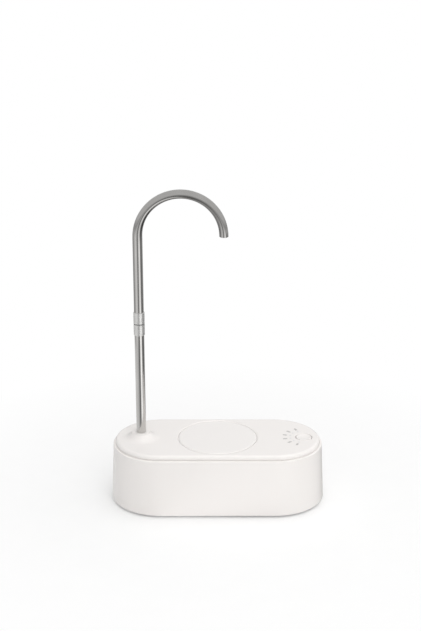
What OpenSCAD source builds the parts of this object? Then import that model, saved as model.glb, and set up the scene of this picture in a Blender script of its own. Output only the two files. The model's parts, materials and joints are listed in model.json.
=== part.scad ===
// Desktop water jug pump: a low stadium-shaped base with a round cup rest,
// a push button and a steel gooseneck spout that swings, lifts out and comes apart.
// Millimetres. Origin at the bottom centre, +X to the button end, +Y to the inlet side, +Z up.

/* [Base] */
// Length of the raised top plate
plate_length = 202.6; // [170:0.2:250]
// Width of the raised top plate
plate_width = 90.6; // [90:0.2:110]
// Height of the plate's upper face above the table
base_height = 64; // [58:1:80]
// Height of the plate's upper face above the shell's rim
plate_rise = 4.8; // [4.4:0.1:5.6]
// Rounding of the plate's edge
plate_edge_r = 3; // [1:0.1:3.6]
// How far the shell's rim stands outside the plate
rim_step = 2.2; // [1.3:0.1:3]
// Rounding of the shell's rim
rim_edge_r = 0.9; // [0.4:0.1:0.9]
// Depth of the shadow groove in the plate's side, at the rim
groove_depth = 0.9; // [0.3:0.1:1.2]
// Seam between the plate and the rim
seam_gap = 0.3; // [0.1:0.05:0.4]
// Outward slope of the shell's wall in degrees
wall_slope = 2.5; // [0.5:0.1:4]
// Thickness of the shell's wall
shell_wall = 2.4; // [1.8:0.1:3]
// Height of the shell's lower edge above the table
shell_lift = 2; // [1.5:0.1:4]
// Bevel of the shell's lower edge
shell_bevel = 0.8; // [0.2:0.1:1.5]
// Depth of the cover's seat below the rim
ledge_depth = 1.6; // [1.2:0.1:2]
// Thickness of the ledge that carries the cover
ledge_thickness = 2.4; // [1.6:0.1:3]
// Width of the ledge, from the plate's edge inwards
ledge_width = 8.5; // [8:0.5:9]

/* [Top cover] */
// Thickness of the cover
cover_thickness = 3; // [2.6:0.1:3.2]
// Thickness of the cover's skirt
cover_skirt = 2.2; // [1.6:0.1:2.6]
// Radius of the cup rest
cup_rest_r = 38.9; // [30:0.1:41]
// Thickness of the cup rest
cup_rest_thickness = 1.5; // [1:0.1:1.8]
// Gap round the cup rest
cup_rest_gap = 0.4; // [0.2:0.05:0.6]
// Depth of the wide bevels at that gap
cup_rest_bevel = 0.6; // [0.2:0.05:0.8]
// Radius of the raised foot round the spout, on the plate
mound_r = 18.5; // [17:0.1:20]
// Height of the raised foot
mound_height = 5.4; // [4:0.1:6]
// Width of the flat rim on top of the raised foot
mound_rim = 1; // [1:0.1:2]
// Height of the ribs under the cover and on the bottom plate
rib_height = 4; // [2:0.5:5]
// Thickness of those ribs
rib_thickness = 1.4; // [1:0.1:2]

/* [Spout] */
// Distance of the riser's axis from the plate's left end
spout_inset = 25.6; // [25:0.1:34]
// Outer diameter of the steel tube
tube_d = 9.5; // [7.5:0.1:12]
// Wall of the steel tube
tube_wall = 0.7; // [0.5:0.05:0.9]
// Radius of the arch, at the tube's centre line
arch_r = 40.8; // [30:0.1:55]
// Height of the arch's feet above the plate
spring_height = 207; // [170:1:250]
// Bevel of the cut end of the spout
lip_bevel = 0.2; // [0.05:0.05:0.3]
// Height of the coupling's joint above the plate
coupling_height = 119.8; // [90:0.1:150]
// Length of each ferrule
ferrule_length = 11.2; // [8:0.1:16]
// Wall of the ferrules
ferrule_wall = 0.6; // [0.5:0.05:1.2]
// Bevel of the ferrules' outer ends
ferrule_bevel = 0.4; // [0.1:0.05:0.4]
// Thickness of the seal between the ferrules
seal_thickness = 1; // [0.6:0.1:2]
// How far the seal stands back from the ferrules
seal_inset = 0.35; // [0.1:0.05:0.5]
// Length of the spigot on each side of the coupling's joint
spigot_length = 14; // [9:0.5:18]
// Wall of the spigot
spigot_wall = 1.4; // [1.2:0.1:1.8]
// Thickness of the spigot's O-rings
spigot_ring_d = 0.9; // [0.7:0.05:1]

/* [Swivel] */
// Wall of the swivel bush
bush_wall = 3.1; // [2.8:0.1:4]
// Depth of the tube's seat in the bush, below the plate
tube_depth = 20.4; // [14:0.1:22]
// How far the bush stands above the raised foot
bush_rise = 0.6; // [0.1:0.1:1]
// Thickness of the bush's floor under the tube
bush_floor = 3.2; // [2:0.1:4]
// Inward step of the bush's floor that stops the tube
bush_stop = 1.1; // [0.9:0.1:1.5]
// Width of the bush's retaining flange
bush_flange = 1.6; // [1:0.1:2]
// Height of the bush's retaining flange
bush_flange_height = 3.6; // [2:0.1:5]
// Thickness of the swivel's O-rings
swivel_ring_d = 1.7; // [1.4:0.05:1.8]
// Wall of the spout socket
socket_wall = 3.4; // [2.5:0.1:4]
// Radius of the socket's mounting flange
socket_flange_r = 17; // [16.5:0.1:17.5]
// Thickness of the socket's mounting flange
socket_flange_thickness = 2.4; // [2:0.1:3]
// Inner radius of the socket's water chamber
chamber_r = 4.6; // [4:0.1:5]

/* [Button] */
// Distance of the button's centre from the plate's right end
button_inset = 15.7; // [15:0.1:22]
// Diameter of the button
button_d = 15.4; // [14:0.1:20]
// Gap round the button
button_gap = 0.6; // [0.2:0.05:0.8]
// Bevel of the edges at that gap
button_bevel = 0.5; // [0.2:0.1:0.5]
// Depth of the button's dish
button_dish = 0.7; // [0.3:0.1:1]
// Width of the button's plain rim round the dish
button_rim = 1; // [0.6:0.1:2]
// Travel of the button
button_travel = 0.8; // [0.5:0.1:1]
// Width of the flange that keeps the button in
button_flange = 1.4; // [1:0.1:1.8]
// Thickness of the button's flange
button_flange_thickness = 1.3; // [1:0.1:1.5]
// Diameter of the button's stem
stem_d = 4; // [3:0.1:5]

/* [Lights] */
// Number of light windows
window_count = 6; // [3:1:7]
// Angle from window to window in degrees
window_step = 27; // [20:1:30]
// Diameter of a light window
window_d = 1.5; // [1:0.1:2]
// Distance of the windows from the button's edge
window_offset = 6.1; // [4.2:0.1:6.4]
// Width of the strip that joins the windows underneath
guide_width = 3.2; // [2.6:0.1:3.6]
// Thickness of that strip
guide_thickness = 1.5; // [1:0.1:2]

/* [Boards] */
// Drop of the control board's upper face below the cover
board_drop = 10; // [9.5:0.1:11]
// Thickness of the boards
board_thickness = 1.6; // [1:0.1:1.6]
// Length of the control board
board_length = 28; // [27:0.5:30]
// Width of the control board
board_width = 38; // [36:0.5:39]
// Distance from the button's centre to the board's outer edge
board_overhang = 5; // [4.5:0.1:5.2]
// Side of the switch's square body
switch_side = 6; // [5:0.1:6.5]
// Height of the switch's body
switch_height = 3.5; // [3:0.1:4]
// Diameter of the switch's plunger
plunger_d = 3.5; // [3:0.1:3.5]
// How far the plunger stands above the switch's body
plunger_rise = 1.5; // [1.2:0.1:1.8]
// Length of the charge board
charge_length = 28; // [26:0.5:30]
// Depth of the charge board
charge_depth = 20; // [18:0.5:21]
// Centre of the charge socket along the base
usb_x = 32; // [24:0.5:34]
// Height of the charge board's underside above the bottom plate
charge_lift = 8; // [7:0.1:10]
// Width of the charge socket
usb_width = 8.94; // [8.94:0.01:8.94]
// Height of the charge socket
usb_height = 3.26; // [3.26:0.01:3.26]
// Depth of the charge socket
usb_depth = 7.35; // [7:0.05:9]
// Metal wall of the charge socket
usb_wall = 0.3; // [0.2:0.05:0.3]
// Room round the charge socket in the shell's slot
usb_room = 0.7; // [0.4:0.1:1]
// Room for a plug's grip round the slot, sunk into the shell
usb_grip = 1.8; // [1:0.1:3]
// Depth of that sunk field
usb_sink = 1; // [0.6:0.1:1.2]

/* [Pump] */
// Front face of the motor along the base
pump_x = 21; // [20:0.5:24]
// Height of the pump's axis above the table
pump_z = 26; // [24.5:0.5:27]
// Radius of the motor
motor_r = 12.2; // [10:0.1:12.4]
// Length of the motor
motor_length = 30.8; // [26:0.1:36]
// Wall of the motor's can
can_wall = 1; // [0.8:0.1:1.2]
// Thickness of the motor's magnets
magnet_thickness = 2.6; // [2:0.1:2.8]
// Radius of the motor's shaft
shaft_r = 1; // [0.8:0.1:1.2]
// Radius of the pump's head
head_r = 14; // [13.5:0.1:14.5]
// Distance of the head's screws from the pump's axis
lug_ring = 15; // [14.5:0.1:15.5]
// Radius of the lugs round those screws
lug_r = 3.2; // [2.8:0.1:3.6]
// Depth of the crank case
bracket_height = 15.6; // [15.6:0.1:17]
// Floor of the crank case
bracket_floor = 2.4; // [2:0.1:2.6]
// Inner radius of the crank case
crank_r = 11.6; // [11:0.1:11.8]
// Radius of the eccentric
eccentric_r = 5.4; // [4.5:0.1:5.6]
// Tilt of the wobble plate in degrees
wobble_tilt = 7; // [4:0.5:8]
// Distance of the diaphragm's cups from the pump's axis
cup_ring = 7.2; // [6.8:0.1:7.4]
// Number of pumping chambers
chamber_count = 3; // [2:1:3]
// Thickness of the diaphragm's sheet
sheet_thickness = 1.2; // [0.8:0.1:1.5]
// Thickness of the valve plate
valve_plate_thickness = 4.8; // [4.4:0.1:6]
// Height of the pump's cap
cap_height = 8; // [7:0.1:10]
// Distance of the outlet barb from the pump's axis
outlet_offset = 3.8; // [3.5:0.1:4]
// Distance of the inlet barb from the pump's axis
inlet_offset = 10.2; // [10:0.1:10.3]
// Thickness of the rubber round the motor
damper_thickness = 1.4; // [1:0.1:2]
// Length of the motor's cradle
cradle_length = 20; // [16:0.5:22]
// Wall of the motor's cradle and clamp
cradle_wall = 2.2; // [1.8:0.1:2.4]

/* [Hoses] */
// Radius of the hose barbs' necks
barb_r = 3; // [2.8:0.1:3.2]
// Height of the barbs' ridges
barb_ridge = 0.5; // [0.3:0.05:0.6]
// Length of a barb
barb_length = 12; // [11:0.5:13]
// Radius of the water way in the barbs
way_r = 1.9; // [1.4:0.1:2]
// Wall of the hoses
hose_wall = 1.75; // [1.2:0.05:2]
// Radius of the inlet hose's bend
hose_bend = 13; // [12:0.5:13]

/* [Inlet port] */
// Outer radius of the inlet nipple
nipple_r = 4; // [3:0.1:5]
// Length of the inlet nipple
nipple_length = 12; // [10:0.5:12]
// Inner radius of the sunk cup round the nipple
port_cup_r = 11.4; // [10:0.1:12]
// Wall of the sunk cup
port_wall = 1.6; // [1.2:0.1:2]
// Depth of the cup's rim outside its seat
port_rim = 5.2; // [4.5:0.1:5.3]
// Width of the port's fixing flange
port_flange = 5; // [4.5:0.1:5.5]
// Thickness of the port's fixing flange
port_flange_thickness = 2.2; // [1.8:0.1:2.4]
// Thickness of the port's gasket
gasket_thickness = 0.8; // [0.5:0.1:1]

/* [Battery] */
// Radius of a battery cell
cell_r = 9.2; // [7:0.1:9.2]
// Length of a battery cell
cell_length = 65; // [50:0.5:66]
// Distance of the cells' axis in front of the base's middle
cell_y = 25.5; // [25:0.1:25.7]
// Wall of the battery's trough
trough_wall = 1.8; // [1.4:0.1:1.8]
// Height of the trough's sides above the bottom plate
trough_height = 13; // [8:0.5:14]

/* [Bottom] */
// Thickness of the bottom plate
bottom_thickness = 2.5; // [2:0.1:3]
// How far the bottom plate is set up into the shell
bottom_inset = 0.6; // [0.3:0.1:1]
// Radius of a foot
foot_r = 8; // [6:0.5:9]
// Depth of a foot's seat in the bottom plate
foot_seat = 1; // [0.6:0.1:1.2]
// Distance of the feet from the long middle line
foot_y = 24; // [20:1:28]
// Radius of the shell's screw columns
column_r = 3.6; // [3:0.1:3.8]

/* [Fits] */
// Radial clearance of parts that turn or slide
run_gap = 0.08; // [0.04:0.01:0.1]
// Radial clearance of parts that are pressed or glued
fit_gap = 0.05; // [0.02:0.01:0.08]
// Clearance between parts that must not touch
free_gap = 0.4; // [0.3:0.05:0.5]

/* [Screws] */
// Shank diameter of the cover and bottom screws
screw_d = 2.6; // [2:0.1:3]
// Head diameter of those screws
screw_head_d = 4.8; // [4:0.1:5]
// Head height of those screws
screw_head_h = 1.8; // [1.4:0.1:2]
// Shank diameter of the small screws
small_d = 2; // [1.6:0.1:2.2]
// Head diameter of the small screws
small_head_d = 3.6; // [3:0.1:3.8]
// Head height of the small screws
small_head_h = 1.4; // [1:0.1:1.6]

/* [Hidden] */
$fn = 64;

// How far a cut runs past the face that it opens
cut = 1;

// Outline
plate_r = plate_width / 2;
spine = (plate_length - plate_width) / 2;
spout_x = spout_inset - plate_length / 2;
button_x = plate_length / 2 - button_inset;
rim_r = plate_r + rim_step;
function shell_r(z) = rim_r + (rim_z - z) * tan(wall_slope);

// Levels
cover_top = base_height;
cover_under = base_height - cover_thickness;
rim_z = base_height - plate_rise;
ledge_top = rim_z - ledge_depth;
ledge_under = ledge_top - ledge_thickness;
ledge_r = plate_r - ledge_width;
bottom_z = shell_lift + bottom_inset;
bottom_top = bottom_z + bottom_thickness;
bottom_r = shell_r(bottom_top) - shell_wall - seam_gap;
board_top = cover_under - board_drop;

// Screw places
column_y = plate_r - 4;
column_angle = 62;
end_screw_angle = 40;
cover_screw_x = 36;
cover_screw_r = plate_r - 5.4;
cover_boss_r = screw_d / 2 + 1.3;
column_points = concat(
  [for (sy = [-1, 1]) [0, sy * column_y]],
  [for (sx = [-1, 1], sy = [-1, 1]) end_point(sx, sy, column_y, column_angle)]
);
cover_points = concat(
  [for (sx = [-1, 1], sy = [-1, 1]) [sx * cover_screw_x, sy * cover_screw_r]],
  [for (sx = [-1, 1], sy = [-1, 1]) end_point(sx, sy, cover_screw_r, end_screw_angle)]
);
function end_point(sx, sy, r, a) = [sx * (spine + r * cos(a)), sy * r * sin(a)];

foot_x = spine + 6;
foot_points = [for (sx = [-1, 1], sy = [-1, 1]) [sx * foot_x, sy * foot_y]];

// Swivel and coupling
tube_r = tube_d / 2;
tube_bore_r = tube_r - tube_wall;
bush_bore_r = tube_r + fit_gap;
bush_r = bush_bore_r + bush_wall;
bush_top = cover_top + mound_height + bush_rise;
tube_foot = cover_top - tube_depth;
bush_foot = tube_foot - bush_floor;
bush_flange_top = cover_under - run_gap;
bush_flange_r = bush_r + bush_flange;
socket_bore_r = bush_r + run_gap;
socket_r = socket_bore_r + socket_wall;
socket_screw_ring = (socket_r + socket_flange_r) / 2;
socket_bore_foot = bush_foot - run_gap;
duct_r = chamber_r + 2.4;
duct_foot = pump_z - chamber_r - 2.4;
mound_hole_r = bush_r + run_gap;
mound_top_r = mound_hole_r + mound_rim;
swivel_ring_r = swivel_ring_d / 2;
outer_ring_z = bush_foot + 4;
inner_ring_z = tube_foot + 7.5;
coupling_z = cover_top + coupling_height;
lower_ferrule_top = coupling_z - seal_thickness / 2;
upper_ferrule_foot = coupling_z + seal_thickness / 2;
ferrule_bore_r = tube_r + fit_gap;
ferrule_r = ferrule_bore_r + ferrule_wall;
spigot_r = tube_bore_r - fit_gap;
spring_z = cover_top + spring_height;
spigot_ring_places = [spigot_length * 0.4, spigot_length * 0.8];
lip_length = 0.4;
rib_ring_r = cup_rest_r - 8;

// Button and lights
button_r = button_d / 2;
button_flange_r = button_r + button_flange;
button_flange_top = cover_under - run_gap;
button_flange_foot = button_flange_top - button_flange_thickness;
switch_top = board_top + switch_height;
plunger_top = switch_top + plunger_rise;
plunger_foot = switch_top - 1.3;
dish_r = button_r - button_rim;
dish_sphere_r = (dish_r * dish_r + button_dish * button_dish) / (2 * button_dish);
window_ring = button_r + window_offset;
window_points = [
  for (i = [0 : window_count - 1])
    let (a = 180 + (i - (window_count - 1) / 2) * window_step)
      [button_x + window_ring * cos(a), window_ring * sin(a)]
];
led_height = 0.8;

// Control board
board_x1 = button_x + board_overhang;
board_x0 = board_x1 - board_length;
board_boss_inset = 4;
board_boss_r = small_d / 2 + 1.4;
board_points = [
  for (x = [board_x0 + board_boss_inset, board_x1 - board_boss_inset])
    for (sy = [-1, 1])
      [x, sy * (board_width / 2 - board_boss_inset)]
];
board_under = board_top - board_thickness;

// Pump, along its own axis from the motor's front face to the barbs
pump_y = outlet_offset;
inlet_y = pump_y + inlet_offset;
hub_r = 4.5;
hub_height = 1.6;
shaft_end = 5.6;
eccentric_foot = bracket_floor + 0.5;
pivot_z = bracket_height + sheet_thickness + 0.7;
eccentric_top = pivot_z - 7.8;
pin_r = 1;
pin_reach = pivot_z - shaft_end - 1.3;
plate_low = 5.2;
plate_high = 3.2;
arm_hole_r = 1.7;
stem_r = 1.2;
sheet_z = bracket_height;
valve_z = sheet_z + sheet_thickness;
cap_z = valve_z + valve_plate_thickness;
cap_top = cap_z + cap_height;
pump_barb_tip = cap_top + barb_length;
lug_angles = [45, 135, 225, 315];
lug_hole_r = small_d / 2 + 0.35;
pump_screw_r = small_d / 2 + 0.25;
cup_angles = [for (i = [0 : chamber_count - 1]) i * 360 / chamber_count];
end_cap_thickness = 2.5;
terminal_y = 6;
terminal_length = 2.6;
motor_screw_ring = 8;
can_front = 3.4;
brush_room = 9;
magnet_bore_r = motor_r - can_wall - magnet_thickness;
core_r = magnet_bore_r - 0.6;
core_foot = brush_room + 2 - motor_length;
core_top = -can_front - 3.6;

// Motor cradle, in the middle of the motor's length
damper_r = motor_r + fit_gap + damper_thickness;
cradle_r = damper_r + fit_gap;
cradle_x = pump_x + motor_length / 2;
clamp_ear_y = cradle_r + cradle_wall + 0.6;
clamp_ear_x = cradle_length / 2 - 2.8;
clamp_points = [for (sx = [-1, 1], sy = [-1, 1]) [cradle_x + sx * clamp_ear_x, pump_y + sy * clamp_ear_y]];
clamp_ear_r = small_d / 2 + 1.4;
clamp_ear_height = 2.4;

// Hoses
hose_r = barb_r + barb_ridge + fit_gap;
hose_out_r = hose_r + hose_wall;
hose_lead = 3;
socket_barb_x = spout_x + duct_r;

// Inlet port, all along +Y from the seat inside the shell
port_x = pump_x - pump_barb_tip - hose_lead - hose_bend;
port_z = pump_z;
port_seat = plate_r - 3;
port_r = port_cup_r + port_wall;
port_flange_r = port_r + port_flange;
port_flange_face = port_seat - gasket_thickness;
nipple_tip = port_seat + port_rim + 1.8;
port_floor = nipple_tip - nipple_length;
port_back = port_floor - 1.8;
port_screw_ring = port_r + port_flange / 2;
inner_barb_length = port_back - (inlet_y + hose_bend) - free_gap;

// Charge socket
charge_under = bottom_top + charge_lift;
charge_top = charge_under + board_thickness;
usb_z = charge_top + usb_height / 2;
usb_mouth = shell_r(usb_z) - shell_wall - free_gap;
charge_y1 = usb_mouth - 2;
charge_y0 = charge_y1 - charge_depth;
charge_points = [
  for (sx = [-1, 1], y = [charge_y0 + 3.2, charge_y1 - 6.4])
    [usb_x + sx * (charge_length / 2 - 3.2), y]
];

// Battery
cell_low_z = bottom_top + 1.4 + cell_r;
cell_high_z = cell_low_z + 2 * cell_r + 0.5;
tab_thickness = 0.3;
tab_width = 6;
trough_r = cell_r + 0.2;
trough_half = cell_length / 2 + tab_thickness + 0.3;
trough_top = bottom_top + trough_height;
trough_end_top = cell_high_z + 3;

// Wire routes
wire_r = 0.8;
tab_x = cell_length / 2 + tab_thickness;
motor_end = pump_x + motor_length + end_cap_thickness + terminal_length;
function motor_route(y) = [
  [motor_end, y, pump_z],
  [motor_end + 3, y, pump_z],
  [motor_end + 7, y, pump_z + 8],
  [board_x0 + 4.5, y, board_under - 8],
  [board_x0 + 4.5, y, board_under]
];
plus_route = [
  [tab_x, -cell_y, cell_high_z],
  [tab_x + 6, -cell_y, cell_high_z],
  [tab_x + 14, -22, 24],
  [tab_x + 18.5, -12, 11],
  [tab_x + 19, 6, 8.5],
  [tab_x + 19, 24, 11],
  [usb_x + charge_length / 2, 33, charge_top + 7],
  [usb_x + charge_length / 2 - 3, 33, charge_top + 4],
  [usb_x + charge_length / 2 - 3, 33, charge_top]
];
minus_route = [
  [tab_x, -cell_y, cell_low_z],
  [tab_x + 6, -cell_y, cell_low_z],
  [tab_x + 13, -20, 11],
  [tab_x + 16, -10, 8],
  [tab_x + 16.5, 6, 7.5],
  [tab_x + 16.5, 22, 9],
  [usb_x + charge_length / 2 - 0.5, 30, charge_top + 5.5],
  [usb_x + charge_length / 2 - 4, 30.5, charge_top + 4],
  [usb_x + charge_length / 2 - 4, 30.5, charge_top]
];
function board_route(s) = [
  [usb_x + 2 + s, 28, charge_top],
  [usb_x + 2 + s, 28, charge_top + 6],
  [50, 27, charge_top + 14 - s],
  [59, 22, charge_top + 21 - s],
  [board_x0 + 10, 11 + s, board_under - 6],
  [board_x0 + 10, 11 + s, board_under]
];

// Sweep of a flat profile, drawn as distance and height, round a stadium
module stadium_sweep(half) {
  for (end = [-1, 1])
    translate([end * half, 0, 0])
      rotate([0, 0, -90 * end])
        rotate_extrude(angle = 180)
          children();
  for (side = [0, 1])
    mirror([0, side, 0])
      translate([-half, 0, 0])
        rotate([90, 0, 90])
          linear_extrude(2 * half)
            children();
}

// Ring of given radii and height
module ring(outer, inner, height) {
  difference() {
    cylinder(r = outer, h = height);
    translate([0, 0, -cut])
      cylinder(r = inner, h = height + 2 * cut);
  }
}

// O-ring of round section
module o_ring(middle_r, section_r) {
  rotate_extrude()
    translate([middle_r, 0])
      circle(r = section_r, $fn = 24);
}

// Screw with its seat at zero, shank upwards and a cross in its head
module screw(d, length, head_d, head_h) {
  cylinder(d = d, h = length);
  difference() {
    translate([0, 0, -head_h])
      cylinder(d1 = head_d - 0.8, d2 = head_d, h = head_h);
    for (a = [0, 90])
      translate([0, 0, -head_h])
        rotate([0, 0, a])
          cube([0.56 * head_d, 0.16 * head_d, head_h], center = true);
  }
}

// Flat obround, long side along X
module obround(width, height) {
  square([width - height, height], center = true);
  for (side = [-1, 1])
    translate([side * (width - height) / 2, 0])
      circle(d = height);
}

// Hose barb standing on zero, with three ridges
module barb(length) {
  step = (length - 2.4) / 3;
  rotate_extrude()
    polygon(concat(
      [[0, 0], [barb_r, 0]],
      [for (i = [0 : 2]) each [
        [barb_r, 2.4 + i * step],
        [barb_r + barb_ridge, 2.4 + i * step],
        [barb_r, 2.4 + (i + 0.8) * step]
      ]],
      [[barb_r - 0.2, length], [0, length]]
    ));
}

// Places on the pump's axis, with +Z towards the barbs
module on_pump() {
  translate([pump_x, pump_y, pump_z])
    rotate([0, -90, 0])
      children();
}

// Places on the inlet port's axis, with +Z out of the shell
module on_port() {
  translate([port_x, 0, port_z])
    rotate([-90, 0, 0])
      children();
}

// Points and directions along a smooth route through given points
function route_point(p, i, t) =
  let (
    n = len(p) - 1,
    a = p[max(i - 1, 0)],
    b = p[i],
    c = p[min(i + 1, n)],
    d = p[min(i + 2, n)]
  )
  0.5 * (2 * b + (c - a) * t + (2 * a - 5 * b + 4 * c - d) * t * t + (3 * b - a - 3 * c + d) * t * t * t);
function route_points(p, steps) = concat(
  [for (i = [0 : len(p) - 2], s = [0 : steps - 1]) route_point(p, i, s / steps)],
  [p[len(p) - 1]]
);
function unit(v) = v / norm(v);

// Round wire along a route
module wire(points, sides = 8) {
  path = route_points(points, 3);
  n = len(path);
  last = len(points) - 1;
  along = concat(
    [unit(points[1] - points[0])],
    [for (i = [1 : n - 2]) unit(path[i + 1] - path[i - 1])],
    [unit(points[last] - points[last - 1])]
  );
  across = [for (t = along) unit(cross(t, abs(t[1]) > 0.9 ? [1, 0, 0.2] : [0, 1, 0]))];
  up = [for (i = [0 : n - 1]) cross(along[i], across[i])];
  rings = [
    for (i = [0 : n - 1], k = [0 : sides - 1])
      path[i] + wire_r * (cos(k * 360 / sides) * across[i] + sin(k * 360 / sides) * up[i])
  ];
  walls = [
    for (i = [0 : n - 2], k = [0 : sides - 1])
      let (k1 = (k + 1) % sides, a = i * sides, b = a + sides)
        each [[a + k, b + k, a + k1], [a + k1, b + k, b + k1]]
  ];
  foot = [for (k = [1 : sides - 2]) [0, k, k + 1]];
  head = [for (k = [1 : sides - 2]) let (a = (n - 1) * sides) [a, a + k + 1, a + k]];
  polyhedron(points = rings, faces = concat(walls, foot, head));
}

// Outer form of the shell, solid
module shell_outline() {
  turn_x = rim_r + rim_edge_r * (tan(wall_slope) - 1 / cos(wall_slope));
  turn_z = rim_z - rim_edge_r;
  polygon([
    [0, shell_lift],
    [shell_r(shell_lift) - shell_bevel, shell_lift],
    [shell_r(shell_lift + shell_bevel), shell_lift + shell_bevel],
    [turn_x + rim_edge_r * cos(wall_slope), turn_z + rim_edge_r * sin(wall_slope)],
    [turn_x, turn_z],
    [turn_x, rim_z],
    [0, rim_z]
  ]);
  translate([turn_x, turn_z])
    circle(r = rim_edge_r);
}

// Wall of the shell with the ledge for the cover
module shell_profile() {
  difference() {
    shell_outline();
    polygon([
      [0, shell_lift - cut],
      [shell_r(shell_lift - cut) - shell_wall, shell_lift - cut],
      [shell_r(ledge_under) - shell_wall, ledge_under],
      [0, ledge_under]
    ]);
    translate([0, ledge_under - cut])
      square([ledge_r, ledge_thickness + 2 * cut]);
    translate([0, ledge_top])
      square([plate_r + seam_gap, rim_z - ledge_top + cut]);
  }
}

module main_shell() {
  color("whitesmoke")
    difference() {
      union() {
        stadium_sweep(spine)
          shell_profile();
        intersection() {
          stadium_sweep(spine)
            shell_outline();
          union() {
            for (p = column_points)
              translate([p[0], p[1], bottom_top])
                cylinder(r = column_r, h = ledge_under + cut / 2 - bottom_top);
            for (p = column_points)
              translate([p[0] - 0.8, p[1] > 0 ? p[1] : p[1] - 12, bottom_top + 4])
                cube([1.6, 12, ledge_under + cut / 2 - bottom_top - 4]);
            on_port()
              translate([0, 0, port_seat])
                cylinder(r = port_flange_r + 0.5, h = 12);
          }
        }
      }
      for (p = column_points)
        translate([p[0], p[1], bottom_top - cut])
          cylinder(d = screw_d + 2 * fit_gap, h = 14 + cut);
      for (p = cover_points)
        translate([p[0], p[1], ledge_under - cut])
          cylinder(d = screw_d + 2 * free_gap, h = ledge_thickness + 2 * cut);
      on_port()
        translate([0, 0, port_seat - cut])
          cylinder(r = port_r + fit_gap, h = 20);
      for (a = [30, 150, 270])
        on_port()
          rotate([0, 0, a])
            translate([port_screw_ring, 0, port_seat - cut])
              cylinder(d = small_d + 2 * fit_gap, h = 3.4 + cut);
      translate([usb_x, usb_mouth - 4, usb_z])
        rotate([-90, 0, 0])
          linear_extrude(12)
            obround(usb_width + 2 * usb_room, usb_height + 2 * usb_room);
      translate([usb_x, shell_r(usb_z) - usb_sink, usb_z])
        rotate([-90, 0, 0])
          linear_extrude(8)
            obround(usb_width + 2 * usb_room + 2 * usb_grip, usb_height + 2 * usb_room + 2 * usb_grip);
    }
}

// Section of the cover: plate with a rounded edge, groove under it, skirt that sits on the ledge
module cover_profile() {
  difference() {
    union() {
      translate([0, ledge_top])
        square([plate_r - plate_edge_r, cover_top - ledge_top]);
      translate([0, ledge_top])
        square([plate_r, cover_top - plate_edge_r - ledge_top]);
      translate([plate_r - plate_edge_r, cover_top - plate_edge_r])
        circle(r = plate_edge_r);
    }
    translate([0, ledge_top - cut])
      square([plate_r - cover_skirt, cover_under - ledge_top + cut]);
    polygon([
      [plate_r + cut, rim_z + 1.4],
      [plate_r - groove_depth, rim_z + 0.2],
      [plate_r - groove_depth, rim_z - 0.3],
      [plate_r + cut, rim_z - 0.3 - groove_depth / 2]
    ]);
  }
}

// Raised foot round the spout, with a hollow curve that runs out into the plate
module mound() {
  reach = mound_r - mound_top_r;
  curve_r = (reach * reach + mound_height * mound_height) / (2 * mound_height);
  rotate_extrude()
    difference() {
      translate([0, cover_top - cut])
        square([mound_r, mound_height + cut]);
      translate([mound_r, cover_top + curve_r])
        circle(r = curve_r, $fn = 96);
    }
}

// Ribs under the cup rest, in plan
module cover_ribs() {
  difference() {
    circle(r = rib_ring_r + rib_thickness / 2);
    circle(r = rib_ring_r - rib_thickness / 2);
  }
  for (a = [0, 45, 90, 135])
    rotate([0, 0, a])
      square([2 * rib_ring_r, rib_thickness], center = true);
}

module top_cover() {
  color("white")
    difference() {
      union() {
        stadium_sweep(spine)
          cover_profile();
        translate([0, 0, cover_under - rib_height])
          linear_extrude(rib_height + 0.5)
            cover_ribs();
        translate([spout_x, 0, 0])
          mound();
        for (p = cover_points)
          translate([p[0], p[1], ledge_top])
            cylinder(r = cover_boss_r, h = cover_under - ledge_top + cut);
        for (p = board_points)
          translate([p[0], p[1], board_top])
            cylinder(r = board_boss_r, h = cover_under - board_top + cut);
      }
      translate([0, 0, cover_top - cup_rest_thickness])
        cylinder(r = cup_rest_r + cup_rest_gap, h = cup_rest_thickness + cut);
      translate([0, 0, cover_top - cup_rest_bevel])
        cylinder(
          r1 = cup_rest_r + cup_rest_gap,
          r2 = cup_rest_r + cup_rest_gap + 2 * (cup_rest_bevel + cut),
          h = cup_rest_bevel + cut
        );
      translate([button_x, 0, cover_under - cut])
        cylinder(r = button_r + button_gap, h = cover_thickness + 2 * cut);
      translate([button_x, 0, cover_top - button_bevel])
        cylinder(
          r1 = button_r + button_gap,
          r2 = button_r + button_gap + button_bevel + cut,
          h = button_bevel + cut
        );
      translate([spout_x, 0, cover_under - cut])
        cylinder(r = mound_hole_r, h = cover_thickness + mound_height + 2 * cut);
      for (p = window_points)
        translate([p[0], p[1], cover_under - cut])
          cylinder(d = window_d + 2 * fit_gap, h = cover_thickness + 2 * cut);
      for (p = cover_points)
        translate([p[0], p[1], ledge_top - cut])
          cylinder(d = screw_d + 2 * fit_gap, h = 4 + cut);
      for (p = board_points)
        translate([p[0], p[1], board_top - cut])
          cylinder(d = small_d + 2 * fit_gap, h = 8 + cut);
      for (a = [60, 180, 300])
        translate([spout_x, 0, cover_under - cut])
          rotate([0, 0, a])
            translate([socket_screw_ring, 0, 0])
              cylinder(d = small_d + 2 * fit_gap, h = 2 + cut);
    }
}

// Ribs on the bottom plate beside the battery, in plan
module bottom_ribs() {
  x0 = -spine - 24;
  x1 = -trough_half - trough_wall - 3;
  for (y = [-14, 14])
    translate([x0, y - rib_thickness / 2])
      square([x1 - x0, rib_thickness]);
  for (i = [0 : 2])
    translate([x0 + i * (x1 - x0 - rib_thickness) / 2, -28])
      square([rib_thickness, 56]);
}

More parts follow.
